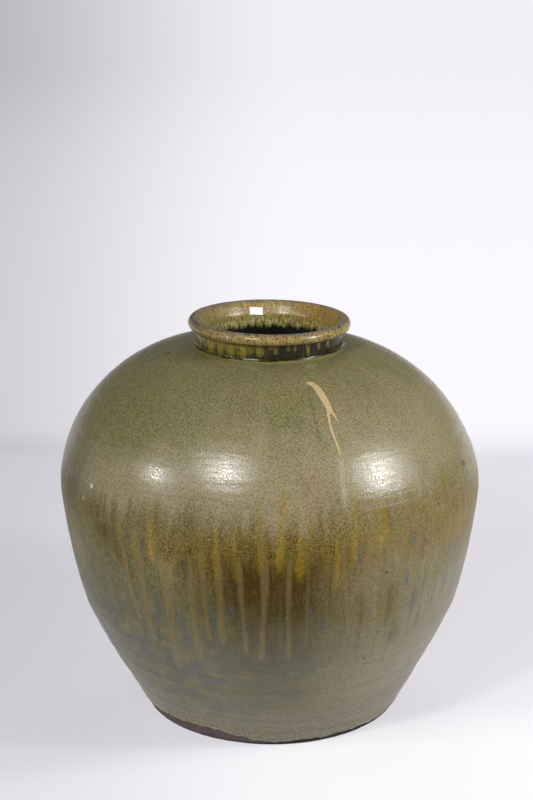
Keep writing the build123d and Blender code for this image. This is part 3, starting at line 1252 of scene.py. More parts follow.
@dataclass(frozen=True)
class InsideGlaze:
    """Glossy black glaze inside, with an amber band that ends in ragged tongues under the lip."""

    black: Rgb = srgb(18, 19, 13)
    amber: Rgb = srgb(173, 151, 97)
    olive: Rgb = srgb(128, 122, 54)
    drip: Rgb = srgb(196, 186, 140)
    rust: Rgb = srgb(164, 116, 42)
    brown: Rgb = srgb(92, 64, 26)
    crest: Rgb = srgb(116, 102, 98)
    speck: Rgb = srgb(36, 26, 18)
    roughness: float = 0.32
    index: float = 1.52
    girth: float = 0.105

    def material(self) -> bpy.types.Material:
        """Build the material: the band coat by coat, with painted shade on its left side, over the black
        below it.

        Returns:
            The material.
        """
        g = WallGraph("inside_glaze")
        g.streak = g.noise(g.streaks(self.girth, 0.16), 130.0, 3.0, 0.65)
        g.fine = g.noise(g.streaks(self.girth, 0.25), 420.0, 3.0, 0.65)
        g.blotch = g.noise(g.point, 42.0, 3.0, 0.6)
        g.grain = g.noise(g.point, 360.0, 2.0, 0.7)
        level = g.height + (g.streak - 0.5) * 30.0 + (g.fine - 0.5) * 9.0
        crest = g.rise(g.height + (g.fine - 0.5) * 10.0 + (g.blotch - 0.5) * 8.0, 612.5, 618.0)
        specks = 1.0 - g.rise(g.dots(g.point, 260.0), 0.20, 0.34)
        band = g.coats(
            self.olive,
            (self.amber, g.rise(level, 588.0, 604.0)),
            (self.olive, g.rise(g.streak + (g.fine - 0.5) * 0.8, 0.48, 0.34) * 0.7),
            (self.rust, g.band(g.azimuth + (g.streak - 0.5) * 60.0, 90.0, 140.0, 30.0) * 0.5),
            (self.brown, g.rise(g.fine, 0.48, 0.68) * 0.7),
            (self.olive, g.rise(g.grain + (g.blotch - 0.5), 0.52, 0.68) * 0.55),
        )
        # Painted shade darkens the band on the left side of the mouth.
        band = g.coats(
            g.shade(band, 1.0 - 0.20 * g.band(g.azimuth, -125.0, -60.0, 40.0)),
            (self.drip, g.band(level, 582.0, 590.0, 4.0) * g.rise(g.fine, 0.58, 0.44) * 0.55),
            (self.crest, crest * g.rise(g.grain, 0.30, 0.60) * 0.90),
            (self.speck, g.rise(g.grain, 0.45, 0.30) * 0.65),
            (self.speck, specks * 0.75),
        )
        colour = g.mix(self.black, band, g.rise(level, 576.0, 586.0))
        rough = self.roughness + crest * 0.15 + (g.grain - 0.5) * 0.3
        normal = g.bump(g.grain * 0.4 + g.blotch, 0.0004)
        return g.show(g.surface(Base_Color=colour, Roughness=rough, Normal=normal, IOR=self.index))


@dataclass(frozen=True)
class BareClay:
    """Fired stoneware without glaze, purple-brown and gritty."""

    clay: Rgb = srgb(98, 82, 80)
    dark: Rgb = srgb(66, 54, 54)
    rust: Rgb = srgb(118, 88, 70)
    # Colour of the painted shadow along the foot.
    painted_foot_shadow: Rgb = srgb(20, 17, 15)
    roughness: float = 0.78
    girth: float = 0.2

    def material(self) -> bpy.types.Material:
        """Build the material: blotches, throwing rings, grit, and a painted shadow along the foot.

        Returns:
            The material.
        """
        g = WallGraph("bare_clay")
        g.blotch = g.noise(g.point, 24.0, 4.0, 0.6)
        g.grain = g.noise(g.point, 700.0, 3.0, 0.7)
        rings = g.noise(g.streaks(self.girth, 12.0), 9.0)
        colour = g.coats(
            self.clay,
            (self.dark, g.rise(g.blotch, 0.45, 0.7) * 0.8),
            (self.rust, g.rise(rings, 0.55, 0.75) * 0.5),
            (self.dark, g.rise(g.grain, 0.5, 0.3) * 0.5),
            # Painted shadow along the foot, under the glaze's overhang.
            (self.painted_foot_shadow, g.attribute("painted_foot_shadow") * 0.9),
        )
        rough = self.roughness + (g.grain - 0.5) * 0.2
        normal = g.bump(g.grain * 0.5 + rings * 0.5, 0.0008, 0.6)
        return g.show(g.surface(Base_Color=colour, Roughness=rough, Normal=normal))


@dataclass(frozen=True)
class LabelPaper:
    """Matt white paper of a small blank label."""

    white: Rgb = srgb(246, 246, 246)
    worn: Rgb = srgb(226, 224, 218)
    roughness: float = 0.75

    def material(self) -> bpy.types.Material:
        """Build the material, with a faint pattern of fibres.

        Returns:
            The material.
        """
        g = Graph(bpy.data.materials.new("label_paper"))
        fibre = g.noise(g.coordinate(), 900.0, 3.0, 0.6)
        colour = g.mix(self.white, self.worn, g.rise(fibre, 0.45, 0.8))
        rough = self.roughness + (fibre - 0.5) * 0.1
        return g.show(g.surface(Base_Color=colour, Roughness=rough, Normal=g.bump(fibre, 0.0001, 0.3)))


# Pieces of the jar


def points_of(piece: bpy.types.Object) -> np.ndarray:
    """Read a piece's points, one row each.

    Args:
        piece: The piece.

    Returns:
        Its points.
    """
    values = np.empty(len(piece.data.vertices) * 3)
    piece.data.vertices.foreach_get("co", values)
    return values.reshape(-1, 3)


def push_out(points: np.ndarray, relief: np.ndarray) -> None:
    """Move points outwards from the jar's axis, each by its own distance."""
    points[:, :2] *= (1.0 + relief / Places.of(points).radius)[:, None]


@dataclass
class JarPiece:
    """What the jar's pieces share: they are spun as on a wheel, and leave the true shape together."""

    jar: JarShape
    lean: Lopsidedness

    SECTORS = 16
    SHARP_FROM = 50.0
    START_SIZE = 0.01

    def spin(self, name: str, outline: Outline, steps: int) -> bpy.types.Object:
        """Draw a closed or axis-to-axis outline and spin it once round the jar's axis.

        Args:
            name: Name of the piece.
            outline: Points of the outline, as radius and height.
            steps: Steps of the whole turn.

        Returns:
            The new piece, with every seam and pole merged and its faces turned outwards.
        """
        bpy.ops.object.select_all(action="DESELECT")
        bpy.ops.mesh.primitive_plane_add(size=self.START_SIZE, location=(outline[0][0], 0.0, outline[0][1]))
        piece = bpy.context.object
        piece.name = piece.data.name = name
        bpy.ops.object.transform_apply(location=True, rotation=True, scale=True)
        bpy.ops.object.mode_set(mode="EDIT")
        bpy.ops.mesh.select_mode(type="VERT")
        bpy.ops.mesh.select_all(action="SELECT")
        bpy.ops.mesh.merge(type="CENTER")
        for start, end in zip(outline, outline[1:]):
            step = (end[0] - start[0], 0.0, end[1] - start[1])
            bpy.ops.mesh.extrude_vertices_move(TRANSFORM_OT_translate={"value": step})
        if max(outline[0][0], outline[-1][0]) > TINY:
            self._close_outline(piece)
        self._turn_round(steps)
        bpy.ops.mesh.remove_doubles(threshold=TINY)
        bpy.ops.mesh.delete_loose()
        bpy.ops.mesh.select_all(action="SELECT")
        bpy.ops.mesh.normals_make_consistent(inside=False)
        bpy.ops.object.mode_set(mode="OBJECT")
        bpy.ops.object.shade_smooth_by_angle(angle=math.radians(self.SHARP_FROM))
        return piece

    def _turn_round(self, steps: int) -> None:
        """Spin the outline through one sector, and copy the sector round the rest of the turn.

        Args:
            steps: Steps of the whole turn.
        """
        sector = math.tau / self.SECTORS
        turned = {"center": (0.0, 0.0, 0.0), "axis": (0.0, 0.0, 1.0)}
        bpy.ops.mesh.select_all(action="SELECT")
        bpy.ops.mesh.spin(steps=steps // self.SECTORS, angle=sector, **turned)
        bpy.ops.mesh.select_all(action="SELECT")
        bpy.ops.mesh.spin(steps=self.SECTORS - 1, dupli=True, angle=math.tau - sector, **turned)
        bpy.ops.mesh.select_all(action="SELECT")

    def _close_outline(self, piece: bpy.types.Object) -> None:
        """Join the outline's last point to its first one.

        Args:
            piece: The piece, in edit mode.
        """
        mesh = bmesh.from_edit_mesh(piece.data)
        for vertex in mesh.verts:
            vertex.select_set(len(vertex.link_edges) == 1)
        mesh.select_flush(True)
        bmesh.update_edit_mesh(piece.data)
        bpy.ops.mesh.edge_face_add()

    def place(self, piece: bpy.types.Object, points: np.ndarray) -> None:
        """Put a piece's points where those of a true shape lie on the real jar."""
        piece.data.vertices.foreach_set("co", self.lean.apply(points, self.jar).ravel())
        piece.data.update()

    def dress(self, piece: bpy.types.Object, material: bpy.types.Material, slot: str, node: str,
              fields: Mapping[str, np.ndarray] | None = None) -> bpy.types.Object:
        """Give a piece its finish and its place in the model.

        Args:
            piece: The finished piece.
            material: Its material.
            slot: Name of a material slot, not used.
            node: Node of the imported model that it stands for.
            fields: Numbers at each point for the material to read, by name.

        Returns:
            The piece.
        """
        for name, values in (fields or {}).items():
            layer = piece.data.attributes.new(name, "FLOAT", "POINT")
            layer.data.foreach_set("value", values.astype(np.float32))
        piece.data.materials.clear()
        piece.data.materials.append(material)
        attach(piece, BODY)
        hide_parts(node)
        LOG.info("%s: %d points for %s", piece.name, len(piece.data.vertices), node)
        return piece


@dataclass
class BodyGlaze(JarPiece):
    """The outer coat from its ragged end above the foot up to the corner of the neck."""

    steps: int = 560
    flank_steps: tuple[int, int, int] = (14, 31, 38)
    end_nominal: float = 0.012
    end_least: float = 0.0030
    end_full: float = 0.009
    end_wave: float = 0.0006
    end_lobes: tuple[int, ...] = (13, 29, 47, 71, 113)
    reshape_top: float = 0.075
    bead: float = 0.0009
    bead_width: float = 0.0035
    run_relief: float = 0.0009
    run_relief_ends: Span = (0.25, 0.33)
    cream_relief: float = 0.0007
    crease_relief: float = 0.0009
    throwing_relief: float = 0.00022
    throwing_waves: tuple[float, ...] = (150.0, 215.0, 290.0, 420.0)
    throwing_fade: Span = (0.12, 0.24)
    seam: tuple[float, float, float] = (0.0505, 0.0022, 0.00035)
    scrape_relief: float = 0.0006
    scrapes: tuple[Span, Span] = ((0.0405, 0.0016), (0.0250, 0.0014))
    scrape_sway: float = 0.002
    scrape_side: Span = (22.0, 26.0)
    fold_relief: float = 0.0011
    fold_width: float = 0.005
    fold_start: Span = (-62.0, 0.345)
    fold_drop: float = 0.0023
    fold_side: Span = (-52.0, 9.0)
    far: float = 9.0
    least_steepness: float = 0.25
    seed: int = 5
    spells: Path = ((0.0, 17.0, 1.25), (128.0, 26.0, 0.8), (214.0, 20.0, 0.9))
    end_heights: tuple[Span, ...] = (
        (-180.0, 0.010), (-130.0, 0.015), (-95.0, 0.018), (-60.0, 0.0180), (-46.2, 0.0215), (-37.0, 0.0242),
        (-29.4, 0.0252), (-23.5, 0.0240), (-18.1, 0.0200), (-13.2, 0.0168), (-10.5, 0.0150), (-9.2, 0.0118),
        (-7.4, 0.0098), (-5.0, 0.0108), (-1.8, 0.0078), (1.5, 0.0056), (4.0, 0.0062), (9.0, 0.0092),
        (18.0, 0.0098), (25.0, 0.0082), (29.0, 0.0108), (36.0, 0.0084), (41.0, 0.0104), (50.0, 0.0080),
        (60.0, 0.0096), (100.0, 0.0066), (140.0, 0.0070), (180.0, 0.010),
    )
    crowds: Path = (
        (-26.6, 0.350, 0.020), (-20.6, 0.353, 0.009), (0.4, 0.354, 0.009), (5.2, 0.366, 0.006),
        (15.2, 0.360, 0.011), (24.0, 0.345, 0.007), (101.0, 0.352, 0.015), (167.0, 0.360, 0.012),
        (238.0, 0.349, 0.018),
    )
    cream_paths: tuple[Path, ...] = (
        ((17.9, 0.5610, 0.0036), (19.1, 0.5604, 0.0046), (20.2, 0.5588, 0.0052), (21.0, 0.5550, 0.0058),
         (21.4, 0.5475, 0.0062), (21.8, 0.5385, 0.0058), (21.8, 0.5335, 0.0046)),
        ((21.4, 0.5340, 0.0030), (20.5, 0.5276, 0.0022), (20.0, 0.5167, 0.0020), (20.2, 0.5030, 0.0019),
         (20.4, 0.4890, 0.0018), (20.3, 0.4760, 0.0011)),
        ((22.1, 0.5340, 0.0028), (22.9, 0.5260, 0.0016), (22.9, 0.5167, 0.0012), (22.6, 0.5102, 0.0007)),
    )
    crack_paths: tuple[Path, ...] = (
        ((17.3, 0.5578, 0.0008), (15.8, 0.5447, 0.0012), (15.4, 0.5237, 0.0014), (15.5, 0.5011, 0.0008)),
    )
    crease_paths: tuple[Path, ...] = (
        ((-57.0, 0.3590, 0.0004), (-56.0, 0.3520, 0.0008), (-54.4, 0.3400, 0.0009),
         (-52.4, 0.3250, 0.0006)),
        ((-47.4, 0.3320, 0.0004), (-45.6, 0.3210, 0.0010), (-42.9, 0.3050, 0.0010), (-40.6, 0.2760, 0.0009),
         (-38.9, 0.2400, 0.0008), (-38.4, 0.2200, 0.0004)),
        ((-74.0, 0.1850, 0.0006), (-64.0, 0.1960, 0.0010), (-56.2, 0.2024, 0.0012), (-49.0, 0.2110, 0.0010),
         (-43.4, 0.2120, 0.0008), (-37.0, 0.2000, 0.0008), (-31.7, 0.1895, 0.0007), (-25.0, 0.1925, 0.0008),
         (-18.6, 0.1920, 0.0008), (-14.0, 0.1880, 0.0004)),
        ((-1.0, 0.0448, 0.0006), (7.8, 0.0443, 0.0014), (17.2, 0.0439, 0.0014), (24.3, 0.0400, 0.0012),
         (36.0, 0.0405, 0.0010), (52.0, 0.0400, 0.0004)),
        ((5.8, 0.0261, 0.0006), (14.7, 0.0240, 0.0015), (23.3, 0.0222, 0.0014), (32.0, 0.0235, 0.0010),
         (46.0, 0.0240, 0.0004)),
        ((-22.0, 0.1450, 0.0004), (-14.0, 0.1480, 0.0009), (-5.3, 0.1475, 0.0008), (2.0, 0.1530, 0.0006),
         (8.8, 0.1567, 0.0010), (17.8, 0.1605, 0.0009), (29.1, 0.1630, 0.0010), (38.0, 0.1600, 0.0005)),
    )

    def build(self, material: bpy.types.Material) -> bpy.types.Object:
        """Make the piece in its finish.

        Args:
            material: Its finish.

        Returns:
            The piece.
        """
        piece = self.spin("body_glaze", self._outline(), self.steps)
        points = self._ragged_end(points_of(piece))
        at = Places.of(points)
        fields = self._fields(at)
        push_out(points, self._relief(at, fields) * self._outside_share(at))
        self.place(piece, points)
        return self.dress(piece, material, "olive_glaze", "outer_glaze", fields)

    def _outline(self) -> Outline:
        """Give the closed outline: outer face upwards, then the face against the clay downwards.

        Returns:
            The outline.
        """
        jar = self.jar
        outer = jar.flank(0.0, self.flank_steps, self.end_nominal) + jar.dome(0.0, 70)[1:]
        inner = jar.flank(jar.glaze, (2, 3, 4), self.end_nominal) + jar.dome(jar.glaze, 10)[1:]
        return eased(outer, 1, len(outer) - 1, 4) + inner[::-1]

    def _ragged_end(self, points: np.ndarray) -> np.ndarray:
        """Stretch the lowest rows so that the coat ends where the real one does, in a slight bead.

        Args:
            points: Places, one row each.

        Returns:
            The moved places.
        """
        at = Places.of(points)
        end = self._end_of_coat(at.azimuth)
        low = at.height < self.reshape_top
        share = (at.height - self.end_nominal) / (self.reshape_top - self.end_nominal)
        height = np.where(low, end + share * (self.reshape_top - end), at.height)
        inset = self._flank_radius(at.height) - at.radius
        scale = np.where(low, (self._flank_radius(height) - inset) / at.radius, 1.0)
        bead = bell(height, end, self.bead_width) * self.bead
        scale = scale + np.where(low & (inset < self.jar.glaze / 2), bead / at.radius, 0.0)
        return np.column_stack([points[:, 0] * scale, points[:, 1] * scale, height])

    def _end_of_coat(self, azimuth: np.ndarray) -> np.ndarray:
        """Give the height at which the coat ends, with small seeded waves.

        Args:
            azimuth: Azimuths.

        Returns:
            The heights.
        """
        rng = np.random.default_rng(self.seed)
        end = np.interp(azimuth, *np.array(self.end_heights).T)
        for lobes in self.end_lobes:
            wave = np.cos(lobes * np.radians(azimuth) + rng.uniform(0, math.tau))
            end += self.end_wave * wave * np.minimum(end / self.end_full, 1.0)
        return np.maximum(end, self.end_least)

    def _flank_radius(self, height: np.ndarray) -> np.ndarray:
        """Give the outer radius of the flank near the foot."""
        line = np.array(self.jar.foot_flank(0.0, 2) + self.jar.lower_flank(0.0, 12)[1:])
        return np.interp(height, line[:, 1], line[:, 0])

    def _outside_share(self, at: Places) -> np.ndarray:
        """Give 1 on the outer face and 0 on the face against the clay.

        Args:
            at: The points.

        Returns:
            The shares.
        """
        jar = self.jar
        flank = jar.flank(0.0, self.flank_steps)
        radii, heights = np.array(eased(flank, 1, len(flank) - 1, 4)).T
        on_flank = at.radius > np.interp(at.height, heights, radii) - jar.glaze / 2
        reach = jar.belly[0] - jar.glaze / 2 - jar.dome_radius
        rise = jar.shoulder_top - jar.belly[1] - jar.glaze / 2
        across = np.clip((at.radius - jar.dome_radius) / reach, 0, None) ** jar.dome_exponent
        up = np.clip((at.height - jar.belly[1]) / rise, 0, None) ** jar.dome_exponent
        return np.where(at.height <= jar.belly[1], on_flank, across + up > 1.0).astype(float)

    def _fields(self, at: Places) -> dict[str, np.ndarray]:
        """Give the numbers that tell the material where each run and belt lies."""
        belt = sum(depth * bell(turn_between(at.azimuth, middle) / width, 0.0, 1.0)
                   for middle, width, depth in self.spells)
        return {
            "runs": coverage(FRONT_RUNS + HIDDEN_RUNS.runs(), at),
            "streaks": coverage(OCHRE_STREAKS + HIDDEN_STREAKS.runs(), at),
            "belt": np.clip(belt, 0.0, 1.0),
            # Where the painted highlight lies along the bead at the coat's lower end.
            "edge": bell(at.height - self._end_of_coat(at.azimuth), 0.0008, 0.0014),
            "left": smooth(np.sin(np.radians(at.azimuth + 8.0)), 0.25, -0.45),
            "crowd": self._crowd(at),
            **{tone.value: self._patches(tone, at) for tone in Tone},
            "trail": coverage(PALE_TRAIL, at),
            "cream": self._tapered(self.cream_paths, at),
            "crack": 1.0 - smooth(self._tapered(self.crack_paths, at), 0.4, 1.6),
            "creases": 1.0 - smooth(self._tapered(self.crease_paths, at), 0.4, 1.6),
        }

    def _patches(self, tone: Tone, at: Places) -> np.ndarray:
        """Give where the glaze has patches of one tone.

        Args:
            tone: The tone.
            at: The points.

        Returns:
            Their shares.
        """
        share = np.zeros_like(at.azimuth)
        for smudge in SMUDGES[tone]:
            across = at.round_from(smudge.azimuth) / smudge.half_width
            up = (at.height - smudge.height) / smudge.half_height
            share = np.maximum(share, smudge.strength * np.exp(-((across**2 + up**2) ** 1.2)))
        return share

    def _crowd(self, at: Places) -> np.ndarray:
        """Give where dark specks crowd together.

        Args:
            at: The points.

        Returns:
            The shares.
        """
        share = np.zeros_like(at.azimuth)
        for middle, height, size in self.crowds:
            gap = np.hypot(at.round_from(middle), (at.height - height) * 0.8)
            share = np.maximum(share, 1.0 - smooth(gap / size, 0.55, 1.35))
        return share

    def _tapered(self, paths: Sequence[Path], at: Places) -> np.ndarray:
        """Measure how far points lie from the nearest of some lines.

        Args:
            paths: The lines, each a row of (azimuth, height, half width) points.
            at: The points.

        Returns:
            Their distances, in half widths.
        """
        nearest = np.full_like(at.azimuth, self.far)
        steepness = np.clip(self._dome_steepness(at.radius), self.least_steepness, 1.0)
        slope = np.where(at.height > self.jar.belly[1], 1.0 / steepness, 1.0)
        for path in paths:
            first = path[0][0]
            along = at.round_from(first)
            for (a0, z0, w0), (a1, z1, w1) in zip(path, path[1:]):
                x0, x1 = (np.radians(azimuth - first) * at.radius for azimuth in (a0, a1))
                dx, dz = x1 - x0, (z1 - z0) * slope
                px, pz = along - x0, (at.height - z0) * slope
                share = np.clip((px * dx + pz * dz) / (dx * dx + dz * dz), 0.0, 1.0)
                gap = np.hypot(px - share * dx, pz - share * dz) / (w0 + (w1 - w0) * share)
                nearest = np.minimum(nearest, gap)
        return nearest

    def _dome_steepness(self, radius: np.ndarray) -> np.ndarray:
        """Give the share of a step along the dome that goes upwards.

        Args:
            radius: Distances from the axis.

        Returns:
            The shares.
        """
        radii, heights = np.array(self.jar.dome(0.0, 60)).T
        steep = np.abs(np.diff(heights)) / np.hypot(np.diff(radii), np.diff(heights))
        middle = (radii[1:] + radii[:-1]) / 2
        return np.interp(radius, middle[::-1], steep[::-1])

    def _relief(self, at: Places, fields: Mapping[str, np.ndarray]) -> np.ndarray:
        """Give how far the coat stands proud: runs, throwing marks, seams and small ridges.

        Args:
            at: The points.
            fields: Where the runs and marks are, by name.

        Returns:
            The distances.
        """
        z, turns = at.height, np.radians(at.azimuth)
        relief = self.run_relief * fields["runs"] * (1 - smooth(z, *self.run_relief_ends))
        relief += self.cream_relief * (1 - smooth(fields["cream"], 0.4, 1.1))
        relief += self.crease_relief * fields["creases"]
        rng = np.random.default_rng(self.seed + 1)
        for rate in self.throwing_waves:
            lobes = int(rng.integers(1, 4))
            wave = np.cos(rate * z + lobes * turns + rng.uniform(0, math.tau))
            relief += self.throwing_relief * wave * (0.35 + 0.35 * (1 - smooth(z, *self.throwing_fade)))
        seam_height, seam_width, seam_relief = self.seam
        relief += seam_relief * bell(z, seam_height, seam_width)
        level, (height, width) = self.scrapes
        scrapes = bell(z, *level) + bell(z, height - self.scrape_sway * np.sin(turns * 4), width)
        relief += self.scrape_relief * scrapes * self._beside(at, self.scrape_side)
        start, height = self.fold_start
        fold = bell(z, height - self.fold_drop * turn_between(at.azimuth, start), self.fold_width)
        return relief + self.fold_relief * fold * self._beside(at, self.fold_side)

    def _beside(self, at: Places, side: Span) -> np.ndarray:
        """Give 1 at one azimuth, falling to 0 at both sides of it over a width."""
        return bell(turn_between(at.azimuth, side[0]), 0.0, side[1])


@dataclass
class NeckCoat(JarPiece):
    """The outer coat from the corner of the neck over the rolled rim to the crest."""

    steps: int = 640
    run_relief: float = 0.0005
    rim_swing: float = 0.00025
    rim_blend: float = 0.004
    rim_lobes: tuple[int, ...] = (3, 5, 8, 13, 21)
    crest_angles: Span = (38.0, 82.0)
    seed: int = 21

    def build(self, material: bpy.types.Material) -> bpy.types.Object:
        """Make the piece in its finish.

        Args:
            material: Its finish.

        Returns:
            The piece.
        """
        jar = self.jar
        piece = self.spin("neck_glaze", self._outline(), self.steps)
        points = points_of(piece)
        at = Places.of(points)
        runs = coverage(NECK_RUNS + HIDDEN_NECK_RUNS.runs(), at)
        outside = (at.radius > jar.neck_radius - jar.glaze / 2) & (at.height < jar.under_rim(0.0))
        in_rim = smooth(at.height, jar.under_rim(0.0) - self.rim_blend, jar.roll_centre[1])
        swing = waves(self.seed, self.rim_lobes, np.radians(at.azimuth)) * self.rim_swing
        push_out(points, self.run_relief * runs * outside + swing * in_rim)
        across, up = jar.roll_centre
        angle = np.degrees(np.arctan2(at.height - up, at.radius - across))
        self.place(piece, points)
        fields = {"runs": runs, "crest": smooth(angle, *self.crest_angles)}
        return self.dress(piece, material, "olive_glaze", "outer_glaze", fields)

    def _outline(self) -> Outline:
        """Give the closed outline: outer face to the crest, then back along the clay.

        Returns:
            The outline.
        """
        jar = self.jar
        heights = np.linspace(jar.shoulder_top + jar.luting, jar.under_rim(0.0), 17)[1:]
        collar = [(jar.neck_radius, height) for height in heights]
        outer = jar.luting_curve(0.0, 8) + collar + jar.roll(0.0, 26)[1:]
        inner = jar.luting_curve(jar.glaze, 3) + jar.roll(jar.glaze, 8)
        return outer + inner[::-1]


@dataclass
class InnerGlaze(JarPiece):
    """The inner coat from the crest over the lip and down the wall to the floor of the jar."""

    steps: int = 480
    face_steps: tuple[int, ...] = (12, 20, 5, 24, 16, 14, 4)
    back_steps: tuple[int, ...] = (4, 3, 2, 10, 5, 4, 2)
    ground_steps: int = 12

    def build(self, material: bpy.types.Material) -> bpy.types.Object:
        """Make the piece in its finish.

        Args:
            material: Its finish.

        Returns:
            The piece.
        """
        piece = self.spin("inside_glaze", self._outline(), self.steps)
        self.place(piece, points_of(piece))
        return self.dress(piece, material, "inner_glaze", "inner_glaze")

    def _outline(self) -> Outline:
        """Give the outline from the floor's middle up to the crest and back along the clay.

        Returns:
            The outline.
        """
        jar = self.jar
        face = self._face(0.0, self.face_steps)
        in_neck = sum(height > jar.shoulder_top + jar.luting for _, height in face)
        return eased(face, 8, in_neck, 5)[::-1] + self._face(jar.glaze, self.back_steps)

    def _face(self, depth: float, steps: Sequence[int]) -> Outline:
        """Give points from the crest to the middle of the floor.

        Args:
            depth: How far they lie behind the finished face.
            steps: Steps of the lip, collar, underside of the hole, dome, belly, lower wall and foot.

        Returns:
            The points.
        """
        jar = self.jar
        inset = jar.wall + 2 * jar.glaze - depth
        throat = jar.neck_radius - jar.neck_wall + depth
        throat_end = jar.shoulder_top - inset
        floor = jar.base_thickness + jar.glaze - depth
        lip = jar.lip(depth, steps[0])
        flare_foot = (throat, jar.flare_height(throat, depth))
        flare = [tuple(point) for point in np.linspace(lip[-1], flare_foot, steps[1] // 2 + 1)[1:]]
        collar = [(throat, height) for height in np.linspace(flare_foot[1], throat_end, steps[1] + 1)[1:]]
        under = [(radius, throat_end) for radius in np.linspace(throat, jar.dome_radius, steps[2] + 1)[1:]]
        wall = []
        for part in (jar.dome(inset, steps[3]), jar.belly_flank(inset, steps[4]),
                     jar.lower_flank(inset, steps[5]), jar.foot_flank(inset, steps[6], floor)):
            wall += part[::-1][1:]
        ground = [(radius, floor) for radius in np.linspace(wall[-1][0], 0.0, self.ground_steps + 1)[1:]]
        return lip + flare + collar + under + wall + ground


@dataclass
class ClaySections(JarPiece):
    """The fired clay sections under the glaze, with the unglazed slab that the jar stands on."""

    steps: int = 160
    base_steps: int = 480
    edge_round: float = 0.0008
    edge_flare: float = 0.0015
    edge_flare_heights: Span = (0.001, 0.004)
    edge_from: float = 0.18
    chip_depth: float = 0.0012
    chip_proud: float = 0.0002
    chip_lobes: tuple[int, ...] = (7, 17, 31, 53, 89)
    # Height of the painted shadow along the foot, by azimuth.
    painted_foot_shadow_tops: tuple[Span, ...] = (
        (-180.0, 0.0002), (-36.0, 0.0004), (-26.0, 0.0020), (-14.0, 0.0030), (-4.0, 0.0040), (4.0, 0.0110),
        (95.0, 0.0110), (125.0, 0.0002), (180.0, 0.0002),
    )
    seed: int = 9

    def build(self, material: bpy.types.Material) -> list[bpy.types.Object]:
        """Make every section in their one finish, the slab first.

        Args:
            material: Their finish.

        Returns:
            The pieces.
        """
        made = [self._base(material)]
        for name, outline in self._outlines().items():
            piece = self.spin(f"{name}_clay", outline, self.steps)
            self.place(piece, points_of(piece))
            made.append(self.dress(piece, material, "bare_clay", name))
        return made

    def _outlines(self) -> dict[str, Outline]:
        """Give each section's closed outline, by the name of its node.

        Returns:
            The outlines.
        """
        jar = self.jar
        outer, inner = jar.glaze, jar.glaze + jar.wall
        hole = jar.neck_radius - outer
        bore = jar.neck_radius - jar.neck_wall + outer
        joint = jar.under_rim(outer)
        flare = jar.lip(outer, 10)
        joint_radius = flare[-1][0] + (joint - flare[-1][1]) / math.tan(jar.lip_turn)
        top = jar.shoulder_top
        walls = {
            "foot_wall": [jar.foot_flank(depth, 4, jar.base_thickness) for depth in (outer, inner)],
            "lower_wall": [jar.lower_flank(depth, 10) for depth in (outer, inner)],
            "belly_wall": [jar.belly_flank(depth, 12) for depth in (outer, inner)],
            "shoulder_wall": [jar.dome(depth, 24) + [(hole, top - depth)] for depth in (outer, inner)],
        }
        return {
            **{name: outside + inside[::-1] for name, (outside, inside) in walls.items()},
            "neck_collar": [(bore, top - inner), (hole, top - inner), (hole, top), (hole, joint),
                            (joint_radius, joint), (bore, jar.flare_height(bore, outer)), (bore, top)],
            "neck_luting_coil": jar.luting_curve(outer, 6) + [(hole, top - outer)],
            "rolled_rim": jar.roll(outer, 14) + flare[1:] + [(joint_radius, joint)],
        }

    def _base_outline(self) -> Outline:
        """Give the slab's outline, from the middle of its underside to the middle of its top.

        Returns:
            The outline.
        """
        jar = self.jar
        rounding = self.edge_round
        corner = jar.foot_radius - jar.glaze - rounding
        ground = [(radius, 0.0) for radius in np.linspace(0.0, corner, 9)]
        edge = [(corner + rounding * math.cos(turn), rounding + rounding * math.sin(turn))
                for turn in np.linspace(-math.pi / 2, math.radians(-8), 4)[1:]]
        flank = [(jar.foot_line(height) - jar.glaze, height) for height in
                 (*np.linspace(rounding * 1.2, 0.007, 6), *np.linspace(0.009, jar.base_thickness, 5))]
        top = [(radius, jar.base_thickness) for radius in np.linspace(flank[-1][0], 0.0, 4)[1:]]
        return ground + edge + flank + top

    def _base(self, material: bpy.types.Material) -> bpy.types.Object:
        """Make the slab, with a rounded, slightly chipped edge, darkened towards the floor by a painted
        shadow.

        Args:
            material: Its finish.

        Returns:
            The piece.
        """
        piece = self.spin("base_disc_clay", self._base_outline(), self.base_steps)
        points = points_of(piece)
        at = Places.of(points)
        rough = waves(self.seed, self.chip_lobes, np.radians(at.azimuth))
        chipped = np.minimum(rough * self.chip_depth, self.chip_proud) * bell(at.height, 0.003, 0.004)
        flare = self.edge_flare * (1 - smooth(at.height, *self.edge_flare_heights))
        push_out(points, (chipped + flare) * (at.radius > self.edge_from))
        self.place(piece, points)
        # Painted shadow along the foot, tallest on the front right under the glaze's overhang.
        painted_foot_shadow_top = np.interp(at.azimuth, *np.array(self.painted_foot_shadow_tops).T)
        painted_foot_shadow = 1 - smooth(at.height / painted_foot_shadow_top, 0.6, 1.1)
        return self.dress(piece, material, "bare_clay", "base_disc", {"painted_foot_shadow": painted_foot_shadow})


